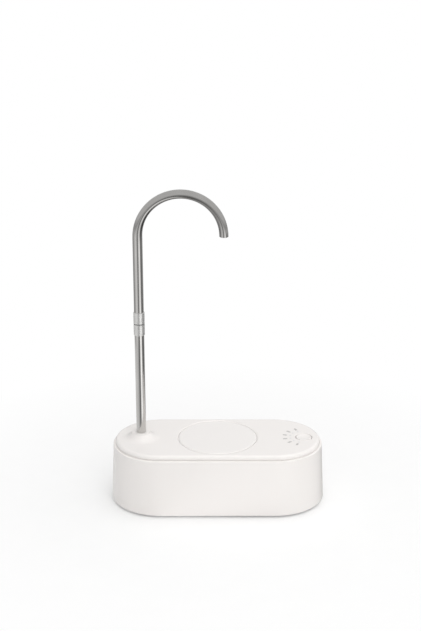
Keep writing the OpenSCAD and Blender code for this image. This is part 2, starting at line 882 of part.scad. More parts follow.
module bottom_plate() {
  color("gainsboro")
    difference() {
      union() {
        translate([0, 0, bottom_z])
          stadium_sweep(spine)
            square([bottom_r, bottom_thickness]);
        translate([0, 0, bottom_top - cut])
          linear_extrude(rib_height + cut)
            bottom_ribs();
        for (p = charge_points)
          translate([p[0], p[1], bottom_top - cut])
            cylinder(r = small_d / 2 + 1.4, h = charge_lift + cut);
      }
      for (p = charge_points)
        translate([p[0], p[1], bottom_top])
          cylinder(d = small_d + 2 * fit_gap, h = charge_lift + cut);
      for (p = column_points)
        translate([p[0], p[1], bottom_z - cut])
          cylinder(d = screw_d + 2 * free_gap, h = bottom_thickness + 2 * cut);
      for (p = column_points)
        translate([p[0], p[1], bottom_z - cut])
          cylinder(d = screw_head_d + 2 * free_gap, h = 1 + cut);
      for (p = foot_points)
        translate([p[0], p[1], bottom_z - cut])
          cylinder(r = foot_r + fit_gap, h = foot_seat + cut);
    }
}

// One rubber foot, bevelled where it meets the table
module foot(x, y) {
  bevel = 0.6;
  color("dimgray")
    translate([x, y, 0]) {
      cylinder(r1 = foot_r - bevel, r2 = foot_r, h = bevel);
      translate([0, 0, bevel])
        cylinder(r = foot_r, h = bottom_z + foot_seat - bevel);
    }
}

module foot_front_left() {
  foot(-foot_x, -foot_y);
}

module foot_front_right() {
  foot(foot_x, -foot_y);
}

module foot_rear_left() {
  foot(-foot_x, foot_y);
}

module foot_rear_right() {
  foot(foot_x, foot_y);
}

module cover_screws() {
  color("silver")
    for (p = cover_points)
      translate([p[0], p[1], ledge_under])
        screw(screw_d, ledge_thickness + 3.4, screw_head_d, screw_head_h);
}

module bottom_screws() {
  color("silver")
    for (p = column_points)
      translate([p[0], p[1], bottom_z + 1])
        screw(screw_d, bottom_thickness + 10, screw_head_d, screw_head_h - 0.4);
}

module cup_rest() {
  color("snow")
    rotate_extrude()
      polygon([
        [0, cover_top - cup_rest_thickness],
        [cup_rest_r, cover_top - cup_rest_thickness],
        [cup_rest_r, cover_top - cup_rest_bevel],
        [cup_rest_r - 2 * cup_rest_bevel, cover_top],
        [0, cover_top]
      ]);
}

module light_guide() {
  span = window_step * (window_count - 1) + 14;
  color("aliceblue")
    union() {
      translate([button_x, 0, cover_under - guide_thickness])
        rotate([0, 0, 180 - span / 2])
          rotate_extrude(angle = span)
            translate([window_ring - guide_width / 2, 0])
              square([guide_width, guide_thickness]);
      for (p = window_points)
        translate([p[0], p[1], cover_under - cut])
          cylinder(d = window_d, h = cover_thickness + cut);
      for (p = window_points)
        translate([p[0], p[1], board_top + led_height + free_gap])
          cylinder(d = window_d + 0.8, h = board_drop - led_height - free_gap - guide_thickness + cut);
    }
}

module control_board() {
  color("darkgreen")
    difference() {
      union() {
        translate([board_x0, -board_width / 2, board_under])
          cube([board_length, board_width, board_thickness]);
        translate([board_x0 + 2, -3.5, board_top - 0.5])
          cube([5, 7, 1.6]);
        for (side = [-1, 1])
          translate([board_x0 + 4.5, side * 9, board_top - 0.5])
            cylinder(r = 2, h = 5.5);
        translate([board_x0 + 14, -7, board_under - 1.2])
          cube([6, 6, 1.7]);
      }
      for (p = board_points)
        translate([p[0], p[1], board_under - cut])
          cylinder(d = small_d + 0.4, h = board_thickness + 2 * cut);
    }
}

module board_screws() {
  color("silver")
    for (p = board_points)
      translate([p[0], p[1], board_under])
        screw(small_d, board_thickness + 6, small_head_d, small_head_h);
}

module indicator_leds() {
  color("lightyellow")
    for (p = window_points)
      translate([p[0] - 1, p[1] - 0.6, board_top])
        cube([2, 1.2, led_height]);
}

module switch_body() {
  color("black")
    difference() {
      translate([button_x - switch_side / 2, -switch_side / 2, board_top])
        cube([switch_side, switch_side, switch_height]);
      translate([button_x, 0, plunger_foot - button_travel - free_gap])
        cylinder(d = plunger_d + 2 * run_gap, h = switch_height);
    }
}

module charge_board() {
  color("darkgreen")
    difference() {
      union() {
        translate([usb_x - charge_length / 2, charge_y0, charge_under])
          cube([charge_length, charge_depth, board_thickness]);
        translate([usb_x - 7, charge_y1 - 11.5, charge_top - 0.5])
          cylinder(r = 2.6, h = 3.3);
        translate([usb_x - 1.5, charge_y1 - 13, charge_top - 0.5])
          cube([5, 5, 1.6]);
      }
      for (p = charge_points)
        translate([p[0], p[1], charge_under - cut])
          cylinder(d = small_d + 0.4, h = board_thickness + 2 * cut);
    }
}

module charge_screws() {
  color("silver")
    for (p = charge_points)
      translate([p[0], p[1], charge_top])
        rotate([180, 0, 0])
          screw(small_d, board_thickness + 6, small_head_d, small_head_h);
}

module usb_socket() {
  tongue = 0.7;
  color("silver")
    translate([usb_x, usb_mouth - usb_depth, usb_z])
      rotate([-90, 0, 0]) {
        difference() {
          linear_extrude(usb_depth)
            obround(usb_width, usb_height);
          translate([0, 0, 1])
            linear_extrude(usb_depth)
              obround(usb_width - 2 * usb_wall, usb_height - 2 * usb_wall);
        }
        translate([-3.3, -tongue / 2, 0.5])
          cube([6.6, tongue, usb_depth - 1.6]);
      }
}

module inlet_port() {
  color("whitesmoke")
    on_port()
      difference() {
        union() {
          rotate_extrude()
            polygon([
              [0, port_back],
              [port_r, port_back],
              [port_r, port_flange_face - port_flange_thickness],
              [port_flange_r, port_flange_face - port_flange_thickness],
              [port_flange_r, port_flange_face],
              [port_r, port_flange_face],
              [port_r, port_seat + port_rim],
              [port_cup_r, port_seat + port_rim],
              [port_cup_r, port_floor],
              [nipple_r, port_floor],
              [nipple_r, nipple_tip - 0.5],
              [nipple_r - 0.5, nipple_tip],
              [0, nipple_tip]
            ]);
          translate([0, 0, port_back])
            rotate([180, 0, 0])
              barb(inner_barb_length);
        }
        translate([0, 0, port_back - inner_barb_length - cut])
          cylinder(r = way_r, h = inner_barb_length + nipple_tip - port_back + 2 * cut);
        for (a = [30, 150, 270])
          rotate([0, 0, a])
            translate([port_screw_ring, 0, port_flange_face - port_flange_thickness - cut])
              cylinder(d = small_d + 0.4, h = port_flange_thickness + 2 * cut);
      }
}

module port_gasket() {
  color("dimgray")
    on_port()
      difference() {
        translate([0, 0, port_flange_face])
          ring(port_flange_r - 0.4, port_r + 0.2, gasket_thickness);
        for (a = [30, 150, 270])
          rotate([0, 0, a])
            translate([port_screw_ring, 0, port_flange_face - cut])
              cylinder(d = small_d + 0.4, h = gasket_thickness + 2 * cut);
      }
}

module port_screws() {
  color("silver")
    for (a = [30, 150, 270])
      on_port()
        rotate([0, 0, a])
          translate([port_screw_ring, 0, port_flange_face - port_flange_thickness])
            screw(small_d, port_flange_thickness + gasket_thickness + 3, small_head_d, small_head_h);
}

module spout_socket() {
  color("gainsboro")
    difference() {
      union() {
        translate([spout_x, 0, cover_under - socket_flange_thickness])
          cylinder(r = socket_flange_r, h = socket_flange_thickness);
        translate([spout_x, 0, socket_bore_foot - 2.4])
          cylinder(r = socket_r, h = cover_under - socket_bore_foot + 2.4);
        translate([spout_x, 0, duct_foot])
          cylinder(r = duct_r, h = socket_bore_foot - duct_foot);
        translate([spout_x, 0, pump_z])
          rotate([0, 90, 0]) {
            cylinder(r = barb_r + 1, h = duct_r);
            translate([0, 0, duct_r])
              barb(barb_length);
          }
      }
      translate([spout_x, 0, bush_flange_top - bush_flange_height - run_gap])
        cylinder(r = bush_flange_r + run_gap, h = bush_flange_height + cut);
      translate([spout_x, 0, socket_bore_foot])
        cylinder(r = socket_bore_r, h = cover_under - socket_bore_foot);
      translate([spout_x, 0, pump_z - chamber_r])
        cylinder(r = chamber_r, h = socket_bore_foot - pump_z + chamber_r + cut);
      translate([spout_x, 0, pump_z])
        rotate([0, 90, 0])
          cylinder(r = way_r, h = duct_r + barb_length + cut);
      for (a = [60, 180, 300])
        translate([spout_x, 0, cover_under - socket_flange_thickness - cut])
          rotate([0, 0, a])
            translate([socket_screw_ring, 0, 0])
              cylinder(d = small_d + 0.4, h = socket_flange_thickness + 2 * cut);
    }
}

module socket_screws() {
  color("silver")
    for (a = [60, 180, 300])
      translate([spout_x, 0, cover_under - socket_flange_thickness])
        rotate([0, 0, a])
          translate([socket_screw_ring, 0, 0])
            screw(small_d, socket_flange_thickness + 1.6, small_head_d, small_head_h);
}

// One battery cell along X, with rolled ends and a crimp at the given place
module cell(z, crimp) {
  roll = 0.8;
  translate([-cell_length / 2, -cell_y, z])
    rotate([0, 90, 0])
      rotate_extrude()
        polygon([
          [0, 0],
          [cell_r - roll, 0],
          [cell_r, roll],
          [cell_r, crimp - 0.8],
          [cell_r - 0.5, crimp],
          [cell_r, crimp + 0.8],
          [cell_r, cell_length - roll],
          [cell_r - roll, cell_length],
          [0, cell_length]
        ]);
}

module battery_cell_lower() {
  color("royalblue")
    cell(cell_low_z, 4);
}

module battery_cell_upper() {
  color("royalblue")
    cell(cell_high_z, cell_length - 4);
}

module battery_tabs() {
  color("silver") {
    translate([-cell_length / 2 - tab_thickness, -cell_y - tab_width / 2, cell_low_z - 4])
      cube([tab_thickness, tab_width, cell_high_z - cell_low_z + 8]);
    for (z = [cell_low_z, cell_high_z])
      translate([cell_length / 2, -cell_y - tab_width / 2, z - 4])
        cube([tab_thickness, tab_width, 8]);
  }
}

module battery_trough() {
  color("dimgray")
    difference() {
      union() {
        translate([-trough_half - trough_wall, -cell_y - trough_r - trough_wall, bottom_top])
          cube([2 * (trough_half + trough_wall), 2 * (trough_r + trough_wall), trough_height]);
        translate([-trough_half - trough_wall, -cell_y - trough_r, bottom_top])
          cube([trough_wall, 2 * trough_r, trough_end_top - bottom_top]);
        translate([trough_half, -cell_y - trough_r, bottom_top])
          cube([trough_wall, 2 * trough_r, trough_end_top - bottom_top]);
      }
      translate([-trough_half, -cell_y, cell_low_z])
        rotate([0, 90, 0])
          cylinder(r = trough_r, h = 2 * trough_half);
      translate([-trough_half, -cell_y - trough_r, cell_low_z])
        cube([2 * trough_half, 2 * trough_r, trough_end_top]);
      translate([trough_half - cut, -cell_y - tab_width / 2, cell_low_z - 3])
        cube([trough_wall + 2 * cut, tab_width, cell_high_z - cell_low_z + 7]);
    }
}

module battery_strap() {
  inner = cell_r + fit_gap;
  thickness = 1.1;
  width = 12;
  color("black")
    translate([-width / 2, -cell_y, cell_high_z])
      rotate([90, 0, 90]) {
        linear_extrude(width)
          difference() {
            circle(r = inner + thickness);
            circle(r = inner);
            translate([-2 * inner, -4 * inner])
              square([4 * inner, 4 * inner]);
          }
        for (side = [0, 1])
          mirror([side, 0, 0])
            translate([inner, trough_top - cell_high_z, 0])
              cube([thickness, cell_high_z - trough_top, width]);
      }
}

// Room inside the motor between its two magnets, in section
module magnet_room() {
  circle(r = magnet_bore_r);
  intersection() {
    circle(r = motor_r - can_wall);
    square([5, 2 * motor_r], center = true);
  }
}

module motor_can() {
  color("silver")
    on_pump()
      difference() {
        union() {
          translate([0, 0, -motor_length])
            cylinder(r = motor_r, h = motor_length);
          cylinder(r = hub_r, h = hub_height);
        }
        translate([0, 0, -motor_length])
          cylinder(r = shaft_r + run_gap, h = motor_length + hub_height + cut);
        translate([0, 0, -motor_length - cut])
          cylinder(r = motor_r - can_wall, h = brush_room + cut);
        translate([0, 0, brush_room - motor_length - cut])
          linear_extrude(motor_length - brush_room - can_front + cut)
            magnet_room();
        for (a = [0, 180])
          rotate([0, 0, a])
            translate([motor_screw_ring, 0, -3])
              cylinder(d = small_d + 2 * fit_gap, h = 3 + cut);
      }
}

module motor_end_cap() {
  color("black")
    on_pump()
      translate([0, 0, -motor_length - end_cap_thickness]) {
        difference() {
          union() {
            cylinder(r = motor_r - 0.6, h = end_cap_thickness);
            cylinder(r = motor_r - can_wall - fit_gap, h = end_cap_thickness + 2);
          }
          translate([0, 0, end_cap_thickness - 1.2])
            cylinder(r = shaft_r + run_gap, h = 4);
        }
        translate([0, 0, -1.2])
          cylinder(r = 3.2, h = 1.2);
        for (side = [-1, 1])
          translate([-1.4, side * terminal_y - 0.3, -terminal_length])
            cube([2.8, 0.6, terminal_length]);
      }
}

module motor_screws() {
  color("silver")
    on_pump()
      for (a = [0, 180])
        rotate([0, 0, a])
          translate([motor_screw_ring, 0, bracket_floor])
            rotate([180, 0, 0])
              screw(small_d, bracket_floor + 2.6, small_head_d, 1);
}

module motor_damper() {
  color("dimgray")
    on_pump()
      translate([0, 0, -motor_length / 2 - cradle_length / 2])
        ring(damper_r, motor_r + fit_gap, cradle_length);
}

module motor_cradle() {
  half = cradle_r + cradle_wall;
  color("gainsboro")
    difference() {
      union() {
        translate([cradle_x - cradle_length / 2, pump_y - half, bottom_top])
          cube([cradle_length, 2 * half, pump_z - bottom_top]);
        for (p = clamp_points)
          translate([p[0], p[1], pump_z - 6])
            cylinder(r = clamp_ear_r, h = 6);
      }
      translate([cradle_x - cradle_length / 2 - cut, pump_y, pump_z])
        rotate([0, 90, 0])
          cylinder(r = cradle_r, h = cradle_length + 2 * cut);
      for (side = [-1, 1])
        translate([cradle_x + side * 5.4 - 4, pump_y - 8, bottom_top + 2])
          cube([8, 16, cradle_r]);
      for (p = clamp_points)
        translate([p[0], p[1], pump_z - 5])
          cylinder(d = small_d + 2 * fit_gap, h = 6);
    }
}

module motor_clamp() {
  color("gainsboro")
    difference() {
      union() {
        translate([cradle_x - cradle_length / 2, pump_y, pump_z])
          rotate([90, 0, 90])
            linear_extrude(cradle_length)
              difference() {
                circle(r = cradle_r + cradle_wall);
                circle(r = cradle_r);
                translate([-2 * cradle_r, -4 * cradle_r])
                  square([4 * cradle_r, 4 * cradle_r]);
              }
        difference() {
          for (p = clamp_points)
            translate([p[0], p[1], pump_z])
              cylinder(r = clamp_ear_r, h = clamp_ear_height);
          translate([cradle_x - cradle_length, pump_y, pump_z])
            rotate([0, 90, 0])
              cylinder(r = cradle_r + cradle_wall / 2, h = 2 * cradle_length);
        }
      }
      for (p = clamp_points)
        translate([p[0], p[1], pump_z - cut])
          cylinder(d = small_d + 0.4, h = clamp_ear_height + 2 * cut);
      for (p = clamp_points)
        translate([p[0], p[1], pump_z + clamp_ear_height])
          cylinder(d = small_head_d + 0.4, h = 8);
    }
}

module clamp_screws() {
  color("silver")
    for (p = clamp_points)
      translate([p[0], p[1], pump_z + clamp_ear_height])
        rotate([180, 0, 0])
          screw(small_d, clamp_ear_height + 4.4, small_head_d, small_head_h);
}

// Outline of the pump's head with four screw lugs
module lugged_outline() {
  circle(r = head_r);
  for (a = lug_angles)
    rotate([0, 0, a])
      translate([lug_ring, 0])
        circle(r = lug_r);
}

// Holes for the head's long screws
module lug_holes(r, z0, z1) {
  for (a = lug_angles)
    rotate([0, 0, a])
      translate([lug_ring, 0, z0])
        cylinder(r = r, h = z1 - z0);
}

module pump_bracket() {
  color("dimgray")
    on_pump()
      difference() {
        linear_extrude(bracket_height)
          lugged_outline();
        translate([0, 0, bracket_floor])
          cylinder(r = crank_r, h = bracket_height);
        translate([0, 0, -cut])
          cylinder(r = hub_r + fit_gap, h = bracket_floor + 2 * cut);
        for (a = [0, 180])
          rotate([0, 0, a])
            translate([motor_screw_ring, 0, -cut])
              cylinder(d = small_d + 0.4, h = bracket_floor + 2 * cut);
        lug_holes(pump_screw_r + fit_gap, 5, bracket_height + cut);
      }
}

// Shaft with the motor's slotted core, its end windings and its commutator
module motor_shaft() {
  color("lightgray")
    on_pump() {
      translate([0, 0, -motor_length - 0.8])
        cylinder(r = shaft_r, h = motor_length + 0.8 + shaft_end);
      translate([0, 0, core_foot])
        linear_extrude(core_top - core_foot)
          difference() {
            circle(r = core_r);
            for (a = [0, 120, 240])
              rotate([0, 0, a])
                translate([0.5 * core_r, -0.8])
                  square([core_r, 1.6]);
          }
      translate([0, 0, core_foot - 2])
        cylinder(r1 = 0.6 * core_r, r2 = 0.85 * core_r, h = 2.5);
      translate([0, 0, core_top - 0.5])
        cylinder(r1 = 0.85 * core_r, r2 = 0.6 * core_r, h = 2.5);
      translate([0, 0, 3 - motor_length])
        cylinder(r = shaft_r + 1.6, h = core_foot + motor_length - 4);
    }
}

// Places on the tilted axis of the wobble plate, with zero at the pivot
module on_wobble() {
  translate([0, 0, pivot_z])
    rotate([0, wobble_tilt, 0])
      children();
}

module eccentric() {
  color("ivory")
    on_pump()
      difference() {
        translate([0, 0, eccentric_foot])
          cylinder(r = eccentric_r, h = eccentric_top - eccentric_foot);
        translate([0, 0, eccentric_foot - cut])
          cylinder(r = shaft_r + fit_gap, h = shaft_end - eccentric_foot + cut + 0.1);
        on_wobble()
          translate([0, 0, -pin_reach - 0.2])
            cylinder(r = pin_r + run_gap, h = pin_reach);
      }
}

module wobble_plate() {
  color("ivory")
    on_pump()
      on_wobble() {
        translate([0, 0, -pin_reach])
          cylinder(r = pin_r, h = pin_reach);
        sphere(r = 1.5);
        difference() {
          translate([0, 0, -plate_low]) {
            cylinder(r = 3.8, h = plate_low - plate_high);
            for (a = cup_angles)
              rotate([0, 0, a]) {
                translate([0, -2, 0])
                  cube([cup_ring, 4, plate_low - plate_high]);
                translate([cup_ring, 0, 0])
                  cylinder(r = 2.8, h = plate_low - plate_high);
              }
          }
          for (a = cup_angles)
            rotate([0, 0, a])
              translate([cup_ring, 0, -plate_low - cut])
                cylinder(r = arm_hole_r, h = plate_low);
        }
      }
}

// Height of the wobble plate's arm at a given angle and level on its axis
function arm_z(a, level) = pivot_z - level * cos(wobble_tilt) - cup_ring * cos(a) * sin(wobble_tilt);

module pump_diaphragm() {
  color("black")
    on_pump()
      difference() {
        union() {
          translate([0, 0, sheet_z])
            cylinder(r = head_r - 1.4, h = sheet_thickness);
          for (a = cup_angles) {
            low = arm_z(a, plate_low);
            high = arm_z(a, plate_high);
            x = cup_ring * cos(a) * cos(wobble_tilt) - (plate_low + plate_high) / 2 * sin(wobble_tilt);
            translate([x, cup_ring * sin(a), high + 0.5])
              cylinder(r = 2.6, h = sheet_z - high - 0.5 + sheet_thickness / 2);
            translate([x, cup_ring * sin(a), low - 0.7])
              cylinder(r = stem_r, h = high - low + 1.4);
            translate([x, cup_ring * sin(a), low - 1.3])
              cylinder(r = 2.2, h = 0.9);
          }
        }
        translate([0, 0, sheet_z - cut])
          cylinder(r = 2.6, h = sheet_thickness + 2 * cut);
      }
}

module valve_plate() {
  seat = 2.6;
  color("whitesmoke")
    on_pump()
      difference() {
        translate([0, 0, valve_z])
          linear_extrude(valve_plate_thickness)
            lugged_outline();
        translate([0, 0, valve_z - cut])
          cylinder(r = 2.2, h = cut + 2.4);
        translate([0, 0, valve_z])
          cylinder(r = 0.95, h = valve_plate_thickness + cut);
        for (a = cup_angles)
          rotate([0, 0, a]) {
            translate([cup_ring, 0, valve_z - cut])
              cylinder(r = 3.8, h = seat + cut);
            translate([cup_ring, 0, valve_z])
              cylinder(r = 0.75, h = valve_plate_thickness + cut);
            for (s = [-1, 1])
              translate([cup_ring + 1.6, s * 1.3, valve_z + seat - cut])
                cylinder(r = 0.6, h = valve_plate_thickness);
            translate([cup_ring - 3, 0, valve_z + seat - cut])
              cylinder(r = 0.7, h = valve_plate_thickness);
          }
        lug_holes(lug_hole_r, valve_z - cut, cap_z + cut);
      }
}

module inlet_valves() {
  seat = 2.6;
  color("tomato")
    on_pump()
      for (a = cup_angles)
        rotate([0, 0, a])
          translate([cup_ring, 0, valve_z + seat - 0.65]) {
            cylinder(r = 2.2, h = 0.6);
            cylinder(r = 0.7, h = valve_plate_thickness - seat + 0.5);
          }
}

module outlet_valve() {
  color("tomato")
    on_pump() {
      translate([0, 0, cap_z + 0.05])
        cylinder(r = 5.6, h = 0.6);
      translate([0, 0, cap_z - 2])
        cylinder(r = 0.85, h = 2.3);
    }
}

module pump_cap() {
  color("whitesmoke")
    on_pump()
      difference() {
        union() {
          translate([0, 0, cap_z])
            linear_extrude(cap_height)
              lugged_outline();
          for (y = [-outlet_offset, inlet_offset])
            translate([0, y, cap_top])
              barb(barb_length);
        }
        translate([0, 0, cap_z - cut])
          cylinder(r = 6.6, h = 5 + cut);
        translate([0, 0, cap_z - cut])
          ring(12.2, 8.2, 4 + cut);
        translate([0, -outlet_offset, cap_z + 2])
          cylinder(r = way_r, h = cap_height + barb_length);
        translate([0, inlet_offset, cap_z + 2])
          cylinder(r = way_r, h = cap_height + barb_length);
        lug_holes(lug_hole_r, cap_z - cut, cap_top + cut);
      }
}

module pump_screws() {
  color("silver")
    on_pump()
      for (a = lug_angles)
        rotate([0, 0, a])
          translate([lug_ring, 0, cap_top])
            rotate([180, 0, 0])
              screw(2 * pump_screw_r, cap_top - 6, small_head_d, small_head_h);
}

module outlet_hose() {
  x0 = socket_barb_x + 0.3;
  x1 = pump_x - cap_top - 0.3;
  color("lightcyan")
    translate([x0, 0, pump_z])
      rotate([0, 90, 0])
        ring(hose_out_r, hose_r, x1 - x0);
}

module inlet_hose() {
  x0 = pump_x - cap_top - 0.3;
  x1 = port_x + hose_bend;
  y1 = inlet_y + hose_bend;
  color("lightcyan") {
    translate([x1, inlet_y, pump_z])
      rotate([0, 90, 0])
        ring(hose_out_r, hose_r, x0 - x1);
    translate([x1, y1, pump_z])
      rotate([0, 0, 180])
        rotate_extrude(angle = 90)
          translate([hose_bend, 0])
            difference() {
              circle(r = hose_out_r);
              circle(r = hose_r);
            }
    translate([port_x, y1, pump_z])
      rotate([-90, 0, 0])
        ring(hose_out_r, hose_r, port_back - 0.3 - y1);
  }
}

module motor_leads() {
  color("firebrick")
    for (side = [-1, 1])
      wire(motor_route(pump_y + side * terminal_y));
}

module battery_leads() {
  color("firebrick")
    for (route = [plus_route, minus_route])
      wire(route);
}

module board_leads() {
  color("firebrick")
    for (side = [-1, 1])
      wire(board_route(side * 1.2));
}

module button_cap() {
  color("white")
    translate([button_x, 0, 0])
      difference() {
        union() {
          translate([0, 0, button_flange_foot])
            cylinder(r = button_r, h = cover_top - button_bevel - button_flange_foot);
          translate([0, 0, cover_top - button_bevel])
            cylinder(r1 = button_r, r2 = button_r - button_bevel, h = button_bevel);
          translate([0, 0, button_flange_foot])
            cylinder(r = button_flange_r, h = button_flange_thickness);
          translate([0, 0, plunger_top])
            cylinder(d = stem_d, h = button_flange_foot - plunger_top);
        }
        translate([0, 0, cover_top - button_dish + dish_sphere_r])
          sphere(r = dish_sphere_r, $fn = 96);
      }
}

module switch_plunger() {
  color("dimgray")
    translate([button_x, 0, plunger_foot])
      cylinder(d = plunger_d, h = plunger_top - plunger_foot);
}

module swivel_bush() {
  groove = swivel_ring_d + 0.5;
  color("white")
    translate([spout_x, 0, 0])
      difference() {
        union() {
          translate([0, 0, bush_foot])
            cylinder(r = bush_r, h = bush_top - bush_foot - 0.4);
          translate([0, 0, bush_top - 0.4])
            cylinder(r1 = bush_r, r2 = bush_r - 0.4, h = 0.4);
          translate([0, 0, bush_flange_top - bush_flange_height])
            cylinder(r = bush_flange_r, h = bush_flange_height);
        }
        translate([0, 0, tube_foot])
          cylinder(r = bush_bore_r, h = bush_top - tube_foot + cut);
        translate([0, 0, bush_foot - cut])
          cylinder(r = bush_bore_r - bush_stop, h = tube_foot - bush_foot + 2 * cut);
        translate([0, 0, outer_ring_z - groove / 2])
          ring(bush_r + cut, bush_r - swivel_ring_d - fit_gap, groove);
        translate([0, 0, inner_ring_z - groove / 2])
          cylinder(r = bush_bore_r + swivel_ring_d + fit_gap, h = groove);
      }
}

module swivel_o_rings() {
  color("black")
    translate([spout_x, 0, 0]) {
      translate([0, 0, outer_ring_z])
        o_ring(bush_r - swivel_ring_r, swivel_ring_r);
      translate([0, 0, inner_ring_z])
        o_ring(bush_bore_r + swivel_ring_r, swivel_ring_r);
    }
}

module riser_tube() {
  color("silver")
    translate([spout_x, 0, tube_foot])
      ring(tube_r, tube_bore_r, lower_ferrule_top - tube_foot);
}

// Ferrule standing on zero, bevelled at its upper end
module ferrule() {
  rotate_extrude()
    polygon([
      [ferrule_bore_r, 0],
      [ferrule_r, 0],
      [ferrule_r, ferrule_length - ferrule_bevel],
      [ferrule_r - ferrule_bevel, ferrule_length],
      [ferrule_bore_r, ferrule_length]
    ]);
}

module lower_ferrule() {
  color("lightgray")
    translate([spout_x, 0, lower_ferrule_top])
      rotate([180, 0, 0])
        ferrule();
}

module upper_ferrule() {
  color("lightgray")
    translate([spout_x, 0, upper_ferrule_foot])
      ferrule();
}

module coupling_spigot() {
  depth = spigot_ring_d;
  color("dimgray")
    translate([spout_x, 0, coupling_z])
      rotate_extrude()
        difference() {
          translate([spigot_r - spigot_wall, -spigot_length])
            square([spigot_wall, 2 * spigot_length]);
          for (z = spigot_ring_places)
            translate([spigot_r - depth / 2, z - depth / 2])
              square([depth, depth]);
        }
}

// Seal between the ferrules, and the squeezed O-rings in the spigot's grooves
module coupling_seal() {
  color("dimgray")
    translate([spout_x, 0, coupling_z]) {
      translate([0, 0, -seal_thickness / 2])
        ring(ferrule_r - seal_inset, spigot_r + fit_gap, seal_thickness);
      for (z = spigot_ring_places)
        translate([0, 0, z - 0.45 * spigot_ring_d])
          ring(tube_bore_r - 0.02, spigot_r - spigot_ring_d / 2 + 0.02, 0.9 * spigot_ring_d);
    }
}

module gooseneck_tube() {
  color("silver") {
    translate([spout_x, 0, upper_ferrule_foot])
      ring(tube_r, tube_bore_r, spring_z - upper_ferrule_foot);
    translate([spout_x + arch_r, 0, spring_z])
      rotate([90, 0, 0])
        rotate_extrude(angle = 180)
          translate([arch_r, 0])
            difference() {
              circle(r = tube_r);
              circle(r = tube_bore_r);
            }
    translate([spout_x + 2 * arch_r, 0, spring_z - lip_length])
      rotate_extrude()
        polygon([
          [tube_bore_r, 0],
          [tube_r - lip_bevel, 0],
          [tube_r, lip_bevel],
          [tube_r, lip_length],
          [tube_bore_r, lip_length]
        ]);
  }
}

main_shell();
top_cover();
bottom_plate();
foot_front_left();
foot_front_right();
foot_rear_left();
foot_rear_right();
cover_screws();
bottom_screws();
cup_rest();
light_guide();
control_board();
board_screws();
indicator_leds();
switch_body();
charge_board();
charge_screws();
usb_socket();
inlet_port();
port_gasket();
port_screws();
spout_socket();
socket_screws();
battery_cell_lower();
battery_cell_upper();
battery_tabs();
battery_trough();
battery_strap();
motor_can();
motor_end_cap();
motor_screws();
motor_damper();
motor_cradle();
motor_clamp();
clamp_screws();
pump_bracket();
pump_diaphragm();
valve_plate();
inlet_valves();
outlet_valve();
pump_cap();
pump_screws();
outlet_hose();
inlet_hose();
motor_leads();
battery_leads();
board_leads();
button_cap();
switch_plunger();
motor_shaft();
eccentric();
wobble_plate();
swivel_bush();
swivel_o_rings();
riser_tube();
lower_ferrule();
coupling_spigot();
coupling_seal();
gooseneck_tube();
upper_ferrule();
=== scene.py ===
# Looks of the desktop water jug pump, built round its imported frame.
# Metres, unless a comment says millimetres.
import json
import math

import bmesh
import bpy
from mathutils import Matrix, Vector


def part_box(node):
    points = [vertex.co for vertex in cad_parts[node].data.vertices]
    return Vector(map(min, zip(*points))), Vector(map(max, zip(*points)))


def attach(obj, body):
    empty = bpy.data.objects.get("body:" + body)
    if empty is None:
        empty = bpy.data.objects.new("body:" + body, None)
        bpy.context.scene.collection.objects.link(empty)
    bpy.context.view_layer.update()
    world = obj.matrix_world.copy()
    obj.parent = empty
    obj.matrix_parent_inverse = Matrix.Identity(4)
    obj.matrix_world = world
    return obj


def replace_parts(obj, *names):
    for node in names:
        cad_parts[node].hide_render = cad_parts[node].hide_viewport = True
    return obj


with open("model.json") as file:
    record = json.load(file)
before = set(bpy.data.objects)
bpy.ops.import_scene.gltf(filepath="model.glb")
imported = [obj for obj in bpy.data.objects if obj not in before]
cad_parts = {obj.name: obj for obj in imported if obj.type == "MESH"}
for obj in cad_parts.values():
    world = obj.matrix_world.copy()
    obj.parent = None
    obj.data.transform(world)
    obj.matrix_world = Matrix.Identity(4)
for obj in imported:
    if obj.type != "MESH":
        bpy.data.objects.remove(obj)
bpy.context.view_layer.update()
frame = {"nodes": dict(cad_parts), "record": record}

nodes = frame["nodes"]
scene = bpy.context.scene

# Camera: the photograph's viewing angle
CAMERA_PLACE = (0, -1.2044, 0.6135)
CAMERA_PITCH = 19.296
camera = bpy.data.cameras.new("camera")
camera.sensor_width = 36
camera.lens = 75.64
camera.shift_x = -0.0113
camera.clip_start = 0.01
viewer = bpy.data.objects.new("camera", camera)
viewer.location = CAMERA_PLACE
viewer.rotation_euler = (math.radians(90 - CAMERA_PITCH), 0, 0)
scene.collection.objects.link(viewer)
scene.camera = viewer
scene.view_settings.view_transform = "Standard"

# Sizes from the CAD that looks and pieces share, in millimetres
MM = 0.001
ARCH_X, ARCH_Z, ARCH_R = -34.9, 271.0, 40.8
TUBE_R, BORE_R = 4.75, 4.05
PLATE_R, SPINE, PLATE_Z, RIM_Z = 45.3, 56.0, 64.0, 59.2
PUMP_PLACE = (21.0, 3.8, 26.0)


def tint(col, k):
    return tuple(min(1.0, c * k) for c in col)


